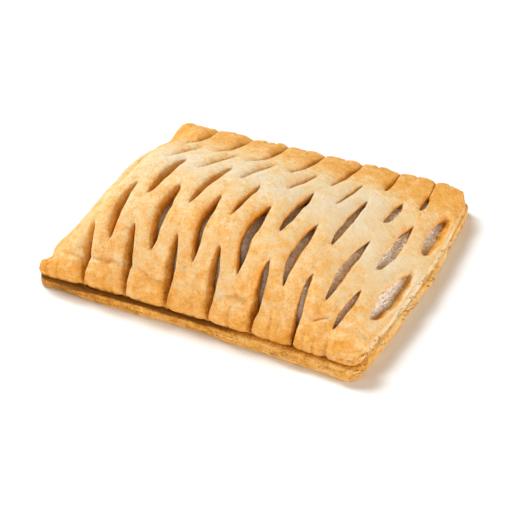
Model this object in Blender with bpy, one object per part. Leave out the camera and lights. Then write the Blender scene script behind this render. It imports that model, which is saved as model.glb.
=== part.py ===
"""Sausage roll with a lattice top: a base sheet of pastry, a meat filling and a slit top sheet.

Metres, +Z up. +X runs along the pastry, across its slits. +Y runs along the slits,
from the steep front to the gently sloping back. The origin is under the middle of the pastry.
"""

import functools

import bmesh
import bpy
import numpy as np

# The lattice: slits a pitch apart, each row half a pitch to the side of the one before it
PITCH = 0.015
FIRST_SLIT_X = -0.0418

# The outline of the top sheet
FRONT_Y = -0.0518
DEPTH = 0.104
LEFT_X = -0.0593
LEFT_BULGE = 0.0018
RIGHT_X = 0.0540
RIGHT_BULGE = 0.0066
RIGHT_BULGE_Y = 0.0735
CORNER_RADIUS = 0.0048
TAB_NOTCH = 0.0007

# The dome of the top sheet, above its rim
RIM_HEIGHT = 0.0091
DOME_RISE = 0.0262
FRONT_WALL = 0.0080
CREST_Y = 0.0300
SHOULDER_X = -0.0087
LEFT_WALL = 0.0136
LEFT_WALL_BACK = 0.0092
BACK_LIFT = 0.0014

# Thicknesses and clearances
SHEET = 0.0041
SHEET_MIN = 0.0026
LIP_RADIUS = 0.0014
LIP_DROP = 0.0011
CREASE = 0.42
WIDE_OPENING = 0.0012
CROWN_REACH = 0.0042
CROWN_DROP = 0.0004
RIM_DROP = 0.0016
UNDERSIDE_SHARE = 0.15
TOUCH_GAP = 0.0004

# The base sheet
BASE_LEFT = 0.0040
BASE_RIGHT = 0.0047
BASE_OVERHANG_LEFT = 0.0009
BASE_OVERHANG_RIGHT = 0.0006
BASE_OVERHANG_FRONT = 0.0006
BASE_OVERHANG_CORNER = 0.0020
BASE_CORNER = 0.0036
BASE_CORNER_POINTS = 5
BASE_SIDE_POINTS = 13
BASE_WAVE = 0.004
BASE_LAYERS = (
    (0.0, 0.0010), (0.12, 0.0), (0.30, 0.0002), (0.42, 0.0009), (0.52, 0.0002), (0.72, 0.0003),
    (0.80, 0.0010), (0.90, 0.0006), (1.0, 0.0014),
)

# The filling
FILLING_ROWS = (0.4, 7.5)
FILLING_COLUMNS = (0.1, 7.65)
FILLING_EDGE = 0.0012

# Slits, row by row from the front. Each row has the coordinate of its first slit. Each slit has
# its start and end, as lengths along the sheet from the front rim in pitches, its opening in metres,
# and how far its start and its end lie aside of the even lattice, in metres.
# A slit that starts at 0 is cut through the front rim, and one that ends at BACK_RIM through the back rim.
BACK_RIM = 8.2
SLIT_ROWS = (
    (1.0, ((0.0, 1.3, 0.0022, -0.0006, -0.0007), (0.0, 1.5, 0.0024, 0.0, 0.0), (0.0, 1.5, 0.0025, 0.0, 0.0006),
           (0.0, 1.5, 0.0025, 0.0, 0.0005), (0.0, 1.5, 0.0024, 0.0, 0.0016), (0.0, 1.5, 0.0020, 0.0, -0.0002),
           (0.45, 1.7, 0.0022, -0.0002, 0.0006))),
    (1.5, ((1.0, 2.7, 0.0028, -0.0002, -0.0002), (1.0, 2.9, 0.0035, 0.0002, 0.0002),
           (1.0, 2.9, 0.0026, 0.0002, 0.0003), (1.0, 3.1, 0.0037, 0.0002, 0.0002), (1.0, 3.1, 0.0029, 0.0, 0.0003),
           (1.0, 3.35, 0.0030, 0.0, 0.0009), (1.15, 3.1, 0.0042, 0.0010, 0.0016))),
    (1.0, ((2.3, 4.1, 0.0012, -0.0008, -0.0028), (2.3, 4.3, 0.0026, 0.0, -0.0016), (2.3, 4.5, 0.0020, 0.0002, 0.0),
           (2.3, 3.85, 0.0012, -0.0002, -0.0004), (2.3, 4.5, 0.0028, 0.0002, -0.0012),
           (2.5, 5.15, 0.0026, 0.0, -0.0018), (2.5, 4.7, 0.0038, 0.0008, 0.0010))),
    (1.5, ((4.1, 5.9, 0.0009, 0.0, 0.0), (3.85, 5.9, 0.0009, -0.0004, 0.0), (3.85, 5.9, 0.0009, 0.0, 0.0),
           (4.1, 6.1, 0.0010, -0.0005, 0.0), (4.3, 6.4, 0.0015, -0.0004, -0.0003),
           (4.3, 5.9, 0.0030, 0.0006, 0.0006), (3.85, 5.9, 0.0042, 0.0012, 0.0014))),
    (1.0, ((5.65, BACK_RIM, 0.0009, 0.0, 0.0), (5.65, BACK_RIM, 0.0009, 0.0, 0.0), (5.4, BACK_RIM, 0.0009, 0.0, 0.0),
           (5.4, BACK_RIM, 0.0009, 0.0, 0.0), (5.4, BACK_RIM, 0.0010, 0.0, 0.0), (6.4, BACK_RIM, 0.0010, 0.0, 0.0),
           (5.65, BACK_RIM, 0.0016, -0.0001, -0.0003))),
)
DRIFT_REACH = 0.3
RIM_OPENING = 0.0006

# The grid of the sheet
SHEET_LENGTH = 8.2 * PITCH
EVEN_SHARE = 0.62
LEFT_SLIT_COORD = -0.25
RIGHT_SLIT_COORD = 7.85
HALF_PITCH_STEPS = (0.0, 0.2, 0.5, 0.8)
LEFT_STEPS = (-0.25, -0.17, 0.0, 0.28, 0.56, 0.8, 0.92)
RIGHT_STEPS = (7.5, 7.6, 7.76, 7.85)
ROW_STEPS = (
    0.0, 0.08, 0.25, 0.45, 0.65, 0.85, 1.0, 1.15, 1.3, 1.5, 1.7, 1.95, 2.15, 2.3, 2.5, 2.7, 2.9, 3.1, 3.35,
    3.6, 3.85, 4.1, 4.3, 4.5, 4.7, 4.9, 5.15, 5.4, 5.65, 5.9, 6.1, 6.4, 6.8, 7.2, 7.6, 7.9, 8.07, BACK_RIM,
)

# Materials: colour, roughness and metallic value
CRUST = ("golden_crust", (0.83, 0.53, 0.22, 1.0), 0.55, 0.0)
BASE_CRUST = ("base_crust", (0.72, 0.42, 0.16, 1.0), 0.62, 0.0)
MEAT = ("cooked_meat", (0.36, 0.26, 0.20, 1.0), 0.70, 0.0)


def smooth_step(t):
    """Zero to one with level ends."""
    t = np.clip(t, 0.0, 1.0)
    return t * t * (3.0 - 2.0 * t)


def right_edge(y):
    """X of the top sheet's right side, which bulges towards the back."""
    away = (RIGHT_BULGE_Y - (y - FRONT_Y)) / RIGHT_BULGE_Y
    return RIGHT_X + RIGHT_BULGE * (1.0 - away**2)


def left_edge(y):
    """X of the top sheet's left side."""
    return LEFT_X - LEFT_BULGE * np.sin(np.pi * np.clip((y - FRONT_Y) / DEPTH, 0.0, 1.0))


def dome_height(x, y):
    """Height of the top sheet's outer face: a steep front, a crest, and a long fall to the back and right."""
    depth = np.clip(y - FRONT_Y, 0.0, DEPTH)
    front = 1.0 - np.exp(-((depth / FRONT_WALL) ** 1.6))
    back = (1.0 - np.clip((depth - CREST_Y) / (DEPTH - CREST_Y), 0.0, 1.0) ** 1.6) ** 1.35
    inward = np.clip(x - left_edge(y), 0.0, None)
    wall = LEFT_WALL + (LEFT_WALL_BACK - LEFT_WALL) * smooth_step((depth - 0.25 * DEPTH) / (0.35 * DEPTH))
    left = 1.0 - np.exp(-((inward / wall) ** 1.5))
    outward = np.clip((x - SHOULDER_X) / (right_edge(y) - SHOULDER_X), 0.0, 1.0)
    right = (1.0 - outward**1.8) ** 1.1
    lift = BACK_LIFT * smooth_step((depth - 0.6 * DEPTH) / (0.4 * DEPTH)) * (1.0 - outward**6)
    return RIM_HEIGHT + lift + DOME_RISE * front * back * left * right


def dome_normal(x, y):
    """Unit normal of the dome, from its slope over a short step."""
    step = 0.0004
    across = (dome_height(x + step, y) - dome_height(x - step, y)) / (2.0 * step)
    along = (dome_height(x, y + step) - dome_height(x, y - step)) / (2.0 * step)
    normal = np.stack([-across, -along, np.ones_like(across)], axis=-1)
    return normal / np.linalg.norm(normal, axis=-1, keepdims=True)


def slit_x(coord, y):
    """X of a place given in slits along the pastry, squeezed or spread to the sides' outlines."""
    x = FIRST_SLIT_X + (coord - 1.0) * PITCH
    right_end = FIRST_SLIT_X + (RIGHT_SLIT_COORD - 1.0) * PITCH
    left_end = FIRST_SLIT_X + (LEFT_SLIT_COORD - 1.0) * PITCH
    right_share = smooth_step((coord - 5.5) / (RIGHT_SLIT_COORD - 5.5))
    left_share = smooth_step((1.0 - coord) / (1.0 - LEFT_SLIT_COORD))
    return x + (right_edge(y) - right_end) * right_share + (left_edge(y) - left_end) * left_share


@functools.cache
def column_profile(coord):
    """The bent length of the sheet from its front rim, against y, at one slit coordinate."""
    y = np.linspace(FRONT_Y, FRONT_Y + DEPTH, 600)
    x = slit_x(coord, y)
    z = dome_height(x, y)
    pieces = np.sqrt(np.diff(x) ** 2 + np.diff(y) ** 2 + np.diff(z) ** 2)
    return y, np.concatenate([[0.0], np.cumsum(pieces)])


def row_y(coord, step):
    """Y of a grid row, given as a length along the bent sheet in pitches, at one slit coordinate."""
    y, length = column_profile(float(coord))
    even = EVEN_SHARE * SHEET_LENGTH
    wanted = step * PITCH
    if wanted > even:
        share = (wanted - even) / (SHEET_LENGTH - even)
        wanted = even + share * (length[-1] - even)
    return float(np.interp(wanted, length, y))


def slits():
    """Every slit as (coordinate, start, end, opening, aside at its start, aside at its end)."""
    return [(first + index, *member) for first, row in SLIT_ROWS for index, member in enumerate(row)]


def half_opening(slit, step):
    """Half the width of a slit at a place along it: pointed at both ends, or nearly shut at the rim."""
    _, start, end, opening, _, _ = slit
    share = np.clip((step - start) / (end - start), 0.0, 1.0)
    lens = 0.5 * opening * np.sin(np.pi * share) ** 0.9
    at_rim = (start == 0.0) & (share < 0.5) | (end == BACK_RIM) & (share > 0.5)
    return np.maximum(lens, np.where(at_rim, 0.5 * RIM_OPENING, 0.0))


def drift(coord, step):
    """How far the sheet lies aside of the even lattice, to where its slits are."""
    aside = np.zeros(coord.shape)
    for at, start, end, _, at_start, at_end in slits():
        share = np.clip((step - start) / (end - start), 0.0, 1.0)
        past = np.maximum(start - step, 0.0) + np.maximum(step - end, 0.0)
        near = np.exp(-(((coord - at) / DRIFT_REACH) ** 2)) * (1.0 - smooth_step(2.0 * past))
        aside += near * (at_start + (at_end - at_start) * share)
    return aside * smooth_step((RIGHT_SLIT_COORD - coord) / 0.35)


def nearest_row(step):
    """Index of the grid row nearest to a length along the sheet."""
    return int(np.argmin([abs(step - other) for other in ROW_STEPS]))


def sheet_columns():
    """Slit coordinates of the grid's columns, closer together beside the slits."""
    inner = [1.0 + 0.5 * (half + part) for half in range(13) for part in HALF_PITCH_STEPS]
    return [*LEFT_STEPS, *inner, *RIGHT_STEPS]


def round_off(distance, reach, drop):
    """How far a face falls towards an edge: a quarter of an ellipse."""
    share = np.clip(1.0 - distance / reach, 0.0, 1.0)
    return drop * (1.0 - np.sqrt(1.0 - share**2))


def lip_fall(coord, step):
    """How far the sheet falls towards its slits: a round lip on the cut, and a puffed strip between two slits."""
    fall = np.zeros(coord.shape)
    for slit in slits():
        at, start, end = slit[:3]
        away = np.maximum(np.abs(coord - at) * PITCH - half_opening(slit, step), 0.0)
        before = np.maximum(start - step, 0.0) * PITCH
        after = np.maximum(step - end, 0.0) * PITCH
        past = np.hypot(away, before + after)
        depth = CREASE + (1.0 - CREASE) * np.clip(half_opening(slit, step) / WIDE_OPENING, 0.0, 1.0)
        dip = round_off(past, LIP_RADIUS, LIP_DROP) + CROWN_DROP * (1.0 - smooth_step(past / CROWN_REACH))
        fall = np.maximum(fall, depth * dip)
    return fall


def rim_distance(x, y):
    """Distance from a place on the top sheet to its outline."""
    sides = np.minimum(x - left_edge(y), right_edge(y) - x)
    ends = np.minimum(y - FRONT_Y, FRONT_Y + DEPTH - y)
    return np.maximum(np.minimum(sides, ends), 0.0)


def rounded_corners(x, y, radius):
    """Pulls an outline's corners in, so that the plan has round corners."""
    to_side = np.minimum(x - left_edge(y), right_edge(y) - x)
    to_end = np.minimum(y - FRONT_Y, FRONT_Y + DEPTH - y)
    pull_x = 0.29 * radius * np.clip(1.0 - to_end / radius, 0.0, 1.0) ** 2 * np.clip(1.0 - to_side / radius, 0, 1)
    pull_y = 0.29 * radius * np.clip(1.0 - to_side / radius, 0.0, 1.0) ** 2 * np.clip(1.0 - to_end / radius, 0, 1)
    return x - np.sign(x) * pull_x, y - np.sign(y) * pull_y


def tab_notch(coord, y):
    """How far the front and back edges are drawn in where a slit cuts through them."""
    away = np.abs(coord - np.clip(np.round(coord), 1, 7)) * PITCH
    to_end = np.minimum(y - FRONT_Y, FRONT_Y + DEPTH - y)
    near = np.clip(1.0 - to_end / CORNER_RADIUS, 0.0, 1.0) ** 2
    return TAB_NOTCH * np.exp(-((away / 0.0016) ** 2)) * near


def sheet_thickness(x, y):
    """Thickness of the top sheet, thinner where it is stretched over the right end."""
    right = smooth_step((x - 0.020) / 0.035)
    edge = smooth_step(rim_distance(x, y) / 0.012)
    return SHEET + (SHEET_MIN - SHEET) * right * edge


def sheet_point(coord, step, opened, outer):
    """Places on the outer or the inner face of the top sheet.

    coord and step place the point in the lattice, and opened is how far a slit's lip has moved aside.
    """
    y = np.array([row_y(c, s) for c, s in zip(coord, step)])
    x = slit_x(coord, y) + opened + drift(coord, step)
    rim = rim_distance(x, y)
    thickness = sheet_thickness(x, y)
    fall = lip_fall(coord + opened / PITCH, step) * thickness / SHEET
    z = dome_height(x, y)
    normal = dome_normal(x, y)
    if outer:
        inward = fall + round_off(rim, 2.0 * LIP_RADIUS, RIM_DROP)
    else:
        inward = thickness - UNDERSIDE_SHARE * (fall + round_off(rim, LIP_RADIUS, RIM_DROP))
    points = np.stack([x, y, z], axis=-1) - normal * inward[:, None]
    plan_x, plan_y = rounded_corners(points[:, 0], points[:, 1], CORNER_RADIUS)
    points[:, 0] = plan_x
    points[:, 1] = plan_y - np.sign(y) * tab_notch(coord, y)
    return points


def moved_aside(coord, step, lip_side):
    """How far the sheet moves across for the slits at its sides: all the way at a lip, not at all half a pitch off."""
    moved = 0.0
    for slit in slits():
        off = coord - slit[0]
        reach = 0.5 if off < 0.0 else min(0.5, RIGHT_SLIT_COORD - slit[0])
        if abs(off) < reach and slit[1] <= step <= slit[2]:
            side = lip_side if abs(off) < 1e-6 else np.sign(off)
            moved += side * float(half_opening(slit, np.array(step))) * (1.0 - abs(off) / reach)
    return moved


def slits_by_column(columns):
    """The first and last row of the slits on each grid column."""
    found = {}
    for slit in slits():
        index = int(np.argmin([abs(slit[0] - coord) for coord in columns]))
        found.setdefault(index, []).append((nearest_row(slit[1]), nearest_row(slit[2])))
    return found


def is_cut(edge, at_column, column_layer, row_layer):
    """Whether an edge of the grid lies along a slit."""
    one, two = edge.verts
    if one[column_layer] != two[column_layer]:
        return False
    low, high = sorted((one[row_layer], two[row_layer]))
    return any(first <= low and high <= last for first, last in at_column.get(one[column_layer], ()))


def lattice_mesh():
    """The top sheet: a grid slit along its columns, bent over the filling, and thickened."""
    columns = sheet_columns()
    bm = bmesh.new()
    column_layer = bm.verts.layers.int.new("column")
    row_layer = bm.verts.layers.int.new("row")
    aside_layer = bm.verts.layers.float.new("aside")
    bmesh.ops.create_grid(bm, x_segments=len(columns) - 1, y_segments=len(ROW_STEPS) - 1, size=0.5)
    for vert in bm.verts:
        vert[column_layer] = round((vert.co.x + 0.5) * (len(columns) - 1))
        vert[row_layer] = round((vert.co.y + 0.5) * (len(ROW_STEPS) - 1))
    at_column = slits_by_column(columns)
    cut = [edge for edge in bm.edges if is_cut(edge, at_column, column_layer, row_layer)]
    bmesh.ops.split_edges(bm, edges=cut)

    for vert in bm.verts:
        coord, step = columns[vert[column_layer]], ROW_STEPS[vert[row_layer]]
        middle = sum(face.calc_center_median().x for face in vert.link_faces) / len(vert.link_faces)
        vert[aside_layer] = moved_aside(coord, step, 1.0 if middle > vert.co.x else -1.0)

    grown = bmesh.ops.extrude_face_region(bm, geom=bm.faces[:])
    outer = {item for item in grown["geom"] if isinstance(item, bmesh.types.BMVert)}
    for is_outer in (True, False):
        verts = [vert for vert in bm.verts if (vert in outer) == is_outer]
        coord = np.array([columns[vert[column_layer]] for vert in verts])
        step = np.array([ROW_STEPS[vert[row_layer]] for vert in verts])
        opened = np.array([vert[aside_layer] for vert in verts])
        for vert, place in zip(verts, sheet_point(coord, step, opened, is_outer)):
            vert.co = place
    bmesh.ops.recalc_face_normals(bm, faces=bm.faces[:])
    return finished(bm, "lattice_top")


def base_thickness(x, y):
    """Thickness of the base sheet, which has puffed up more towards the right front corner."""
    right = smooth_step((x + 0.06) / 0.12) * smooth_step((0.05 - y) / 0.10)
    return BASE_LEFT + (BASE_RIGHT - BASE_LEFT) * right


def base_ring():
    """The base's outline in shares of half its width and depth: a rectangle with round corners."""
    corners = ((1.0, -1.0, -90.0), (1.0, 1.0, 0.0), (-1.0, 1.0, 90.0), (-1.0, -1.0, 180.0))
    radius = np.array([BASE_CORNER / (RIGHT_X - LEFT_X), BASE_CORNER / DEPTH]) * 2.0
    ring = []
    for index, (share_x, share_y, turn) in enumerate(corners):
        middle = np.array([share_x, share_y]) * (1.0 - radius)
        for angle in np.radians(np.linspace(turn, turn + 90.0, BASE_CORNER_POINTS)):
            ring.append(middle + radius * np.array([np.cos(angle), np.sin(angle)]))
        after = corners[(index + 1) % 4]
        finish = np.array(after[:2]) * (1.0 - radius)
        start_angle, finish_angle = np.radians(turn + 90.0), np.radians(after[2])
        start = middle + radius * np.array([np.cos(start_angle), np.sin(start_angle)])
        finish = finish + radius * np.array([np.cos(finish_angle), np.sin(finish_angle)])
        for part in np.linspace(0.0, 1.0, BASE_SIDE_POINTS + 2)[1:-1]:
            ring.append(start + (finish - start) * part)
    return ring


def base_place(share_x, share_y):
    """A place on the base from its shares: the top sheet's plan, a little larger and wavy."""
    front = BASE_OVERHANG_FRONT + BASE_OVERHANG_CORNER * smooth_step(share_x)
    y = FRONT_Y + 0.5 * DEPTH + share_y * (0.5 * DEPTH + (front if share_y < 0.0 else 0.0))
    left = left_edge(y) - BASE_OVERHANG_LEFT
    right = right_edge(y) + BASE_OVERHANG_RIGHT
    x = 0.5 * (left + right) + share_x * 0.5 * (right - left)
    angle = np.arctan2(share_y, share_x)
    wave = 1.0 + BASE_WAVE * np.sin(9.0 * angle + 1.0) + 0.6 * BASE_WAVE * np.sin(23.0 * angle)
    return np.array([x, y]) * wave


def base_mesh():
    """The base sheet: rings of its outline, drawn in between its baked layers, capped top and bottom."""
    shares = base_ring()
    bm = bmesh.new()
    bmesh.ops.create_circle(bm, cap_ends=True, segments=len(shares), radius=1.0)
    (cap,) = bm.faces
    for level, inset in BASE_LAYERS:
        for (share_x, share_y), vert in zip(shares, cap.verts):
            place = base_place(share_x, share_y)
            place = place * (1.0 - inset / np.linalg.norm(place))
            vert.co = (*place, level * base_thickness(*place))
        if level < 1.0:
            (cap,) = bmesh.ops.extrude_discrete_faces(bm, faces=[cap])["faces"]
    bmesh.ops.holes_fill(bm, edges=[edge for edge in bm.edges if edge.is_boundary])
    bmesh.ops.recalc_face_normals(bm, faces=bm.faces[:])
    return finished(bm, "base_sheet")


def filling_mesh():
    """The filling: a grid that follows the inner face of the top sheet, down to the base sheet."""
    rows = [step for step in ROW_STEPS[::2] if FILLING_ROWS[0] < step < FILLING_ROWS[1]]
    columns = [coord for coord in sheet_columns()[::2] if FILLING_COLUMNS[0] < coord < FILLING_COLUMNS[1]]
    bm = bmesh.new()
    layer = bm.verts.layers.float.new("floor")
    bmesh.ops.create_grid(bm, x_segments=len(columns) - 1, y_segments=len(rows) - 1, size=0.5)
    for vert in bm.verts:
        column = round((vert.co.x + 0.5) * (len(columns) - 1))
        row = round((vert.co.y + 0.5) * (len(rows) - 1))
        coord, step = columns[column], rows[row]
        y = row_y(coord, step)
        x = float(slit_x(np.array(coord), y))
        normal = dome_normal(np.array(x), np.array(y))
        under = sheet_thickness(np.array(x), np.array(y)) + TOUCH_GAP
        place = np.array([x, y, float(dome_height(np.array(x), np.array(y)))]) - normal * under
        floor = float(base_thickness(*place[:2])) + TOUCH_GAP
        place[2] = max(place[2], floor + FILLING_EDGE)
        vert.co = place
        vert[layer] = floor
    grown = bmesh.ops.extrude_face_region(bm, geom=bm.faces[:])
    lower = [item for item in grown["geom"] if isinstance(item, bmesh.types.BMVert)]
    for vert in lower:
        vert.co.z = vert[layer]
    bmesh.ops.recalc_face_normals(bm, faces=bm.faces[:])
    return finished(bm, "filling")


def finished(bm, name):
    """The bmesh as an object's mesh."""
    mesh = bpy.data.meshes.new(name)
    bm.to_mesh(mesh)
    bm.free()
    return mesh


def material(name, colour, roughness, metallic):
    """A plain material of one colour."""
    made = bpy.data.materials.new(name)
    made.use_nodes = True
    shader = made.node_tree.nodes["Principled BSDF"]
    shader.inputs["Base Color"].default_value = colour
    shader.inputs["Roughness"].default_value = roughness
    shader.inputs["Metallic"].default_value = metallic
    made.diffuse_color = colour
    return made


def add_object(collection, name, mesh, look):
    """One named object, shaded smooth, with its own material."""
    made = bpy.data.objects.new(name, mesh)
    mesh.materials.append(material(*look))
    mesh.shade_smooth()
    mesh.set_sharp_from_angle(angle=np.radians(50.0))
    collection.objects.link(made)
    return made


def centre_on_origin(objects):
    """Moves the meshes so that the origin is under the middle of the whole."""
    places = np.array([vert.co[:] for made in objects for vert in made.data.vertices])
    low, high = places.min(axis=0), places.max(axis=0)
    shift = np.array([-(low[0] + high[0]) / 2.0, -(low[1] + high[1]) / 2.0, -low[2]])
    for made in objects:
        for vert in made.data.vertices:
            vert.co = np.array(vert.co) + shift


def main():
    """Clears the scene and builds the sausage roll."""
    for old in list(bpy.data.objects):
        bpy.data.objects.remove(old)
    collection = bpy.data.collections.new("sausage_roll")
    bpy.context.scene.collection.children.link(collection)
    made = [
        add_object(collection, "base_sheet", base_mesh(), BASE_CRUST),
        add_object(collection, "filling", filling_mesh(), MEAT),
        add_object(collection, "lattice_top", lattice_mesh(), CRUST),
    ]
    centre_on_origin(made)


main()
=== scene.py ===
"""A lattice-topped sausage roll: a slit and puffed pastry sheet over a meat filling, on a flaky base."""
import logging
import math
from dataclasses import dataclass, field
from enum import Enum
from functools import cached_property

import bmesh
import bpy
import numpy as np
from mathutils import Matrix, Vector


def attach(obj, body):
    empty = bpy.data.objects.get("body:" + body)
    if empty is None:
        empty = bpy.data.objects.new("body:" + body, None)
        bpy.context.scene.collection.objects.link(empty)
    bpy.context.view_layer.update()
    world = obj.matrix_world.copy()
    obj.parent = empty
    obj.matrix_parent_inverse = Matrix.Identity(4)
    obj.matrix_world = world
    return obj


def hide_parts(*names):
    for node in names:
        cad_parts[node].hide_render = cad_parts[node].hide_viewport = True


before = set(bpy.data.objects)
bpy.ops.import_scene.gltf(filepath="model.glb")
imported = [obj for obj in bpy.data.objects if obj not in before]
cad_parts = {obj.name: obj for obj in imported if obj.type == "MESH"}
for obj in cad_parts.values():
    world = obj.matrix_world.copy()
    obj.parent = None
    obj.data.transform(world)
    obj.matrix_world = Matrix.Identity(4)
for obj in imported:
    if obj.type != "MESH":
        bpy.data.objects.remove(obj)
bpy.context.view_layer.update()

LOG = logging.getLogger("sausage_roll")
FACE_ORDER = (1.0, 1.7, 2.9)


class Slot(Enum):
    """The record's material slots."""

    BASE = "base_crust"
    MEAT = "cooked_meat"
    CRUST = "golden_crust"


class Node(Enum):
    """The solids that the visible pieces stand for."""

    BASE = "base_sheet"
    MEAT = "filling"
    CRUST = "lattice_top"


class Shape(Enum):
    """What is strewn over a piece."""

    GRAIN = "grain"
    FLAKE = "flake"


def smooth_step(t: np.ndarray) -> np.ndarray:
    """Zero to one with level ends.

    Args:
        t: Shares, which are held between 0 and 1.

    Returns:
        The eased shares.
    """
    t = np.clip(t, 0.0, 1.0)
    return t * t * (3.0 - 2.0 * t)


def bell(t: np.ndarray) -> np.ndarray:
    """A smooth bump that is 1 at zero and nearly nothing past 2.

    Args:
        t: Distances in widths of the bump.

    Returns:
        The bump's height at each.
    """
    return np.exp(-(t**2))


def round_off(distance: np.ndarray, reach: float | np.ndarray, drop: float | np.ndarray) -> np.ndarray:
    """How far a face falls towards an edge: a quarter of an ellipse.

    Args:
        distance: Distance to the edge.
        reach: Where the fall begins.
        drop: The whole fall, at the edge itself.

    Returns:
        The fall at each place.
    """
    share = np.clip(1.0 - distance / reach, 0.0, 1.0)
    return drop * (1.0 - np.sqrt(1.0 - share**2))


@dataclass(frozen=True)
class Noise:
    """Smooth lumps in space, the same in each run.

    Attributes:
        seed: Which lumps.
        cells: After how many lumps they repeat.
        apart: How far from one another, in lumps, the finer layers are read.
    """

    seed: int
    cells: int = 64
    apart: float = 17.3

    @cached_property
    def values(self) -> np.ndarray:
        """The height at each corner of the cells, from -1 to 1."""
        return np.random.default_rng(self.seed).uniform(-1.0, 1.0, (self.cells,) * 3)

    def layer(self, places: np.ndarray) -> np.ndarray:
        """One layer of lumps.

        Args:
            places: Points in cells, one row each.

        Returns:
            The height at each point.
        """
        cell = np.floor(places).astype(int)
        part = smooth_step(places - cell)
        total = np.zeros(len(places))
        for corner in range(8):
            offset = np.array([(corner >> axis) & 1 for axis in range(3)])
            index = (cell + offset) % self.cells
            share = np.prod(np.where(offset == 1, part, 1.0 - part), axis=1)
            total += share * self.values[index[:, 0], index[:, 1], index[:, 2]]
        return total

    def at(self, points: np.ndarray, size: float | tuple[float, float, float],
           octaves: int = 1) -> np.ndarray:
        """Lumps of a size, with finer ones on them.

        Args:
            points: Points in metres, one row each.
            size: Width of the lumps in metres, the same or one along each axis.
            octaves: Number of layers, each half as wide and half as high as the one before.

        Returns:
            Heights from about -1 to 1.
        """
        total = np.zeros(len(points))
        for octave in range(octaves):
            total += self.layer(points / np.array(size) * 2.0**octave + self.apart * octave) / 2.0**octave
        return total / (2.0 - 2.0 ** (1 - octaves))


@dataclass(frozen=True)
class Plan:
    """The top sheet's outline from above, in the modelling frame.

    Attributes:
        squareness: How soon the way out turns from one side to the next at a corner.
        centre: Where the modelling frame's origin lies in the pastry's own frame.
    """

    front_y: float = -0.0518
    depth: float = 0.104
    left_x: float = -0.0593
    left_bulge: float = 0.0018
    right_x: float = 0.0540
    right_bulge: float = 0.0066
    right_bulge_y: float = 0.0735
    corner_radius: float = 0.0048
    corner_share: float = 0.18
    squareness: int = 15
    centre: tuple[float, float, float] = (0.00044401, 0.00091685, 0.0)

    def left(self, y: np.ndarray) -> np.ndarray:
        """X of the left side at each y."""
        share = np.clip((y - self.front_y) / self.depth, 0.0, 1.0)
        return self.left_x - self.left_bulge * np.sin(np.pi * share)

    def right(self, y: np.ndarray) -> np.ndarray:
        """X of the right side at each y."""
        away = (self.right_bulge_y - (y - self.front_y)) / self.right_bulge_y
        return self.right_x + self.right_bulge * (1.0 - away**2)

    def to_side(self, x: np.ndarray, y: np.ndarray) -> np.ndarray:
        """Distance to the nearer of the left and right sides."""
        return np.minimum(x - self.left(y), self.right(y) - x)

    def to_end(self, y: np.ndarray) -> np.ndarray:
        """Distance to the nearer of the front and back ends."""
        return np.minimum(y - self.front_y, self.front_y + self.depth - y)

    def rim_distance(self, x: np.ndarray, y: np.ndarray) -> np.ndarray:
        """Distance to the outline."""
        return np.maximum(np.minimum(self.to_side(x, y), self.to_end(y)), 0.0)

    def corner_pull(self, x: np.ndarray, y: np.ndarray) -> tuple[np.ndarray, np.ndarray]:
        """How far each place is drawn in, so that the corners are round.

        Args:
            x: Places across.
            y: Places along.

        Returns:
            The pull across and the pull along, both towards the middle.
        """
        side = np.clip(1.0 - self.to_side(x, y) / self.corner_radius, 0.0, 1.0)
        end = np.clip(1.0 - self.to_end(y) / self.corner_radius, 0.0, 1.0)
        most = self.corner_share * self.corner_radius
        return most * end**2 * side, most * side**2 * end

    def outward(self, x: np.ndarray, y: np.ndarray) -> np.ndarray:
        """Level direction out of the outline, turning round the corners.

        Args:
            x: Places across.
            y: Places along.

        Returns:
            Unit vectors with no height, one row each.
        """
        middle_x = 0.5 * (self.left(y) + self.right(y))
        half_x = 0.5 * (self.right(y) - self.left(y))
        half_y = 0.5 * self.depth
        across = (x - middle_x) / half_x
        along = (y - self.front_y - half_y) / half_y
        level = [np.sign(share) * np.abs(share) ** self.squareness for share in (across, along)]
        way = np.stack([*level, 0.0 * x], axis=-1)
        return way / np.maximum(np.linalg.norm(way, axis=-1, keepdims=True), 1e-9)


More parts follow.
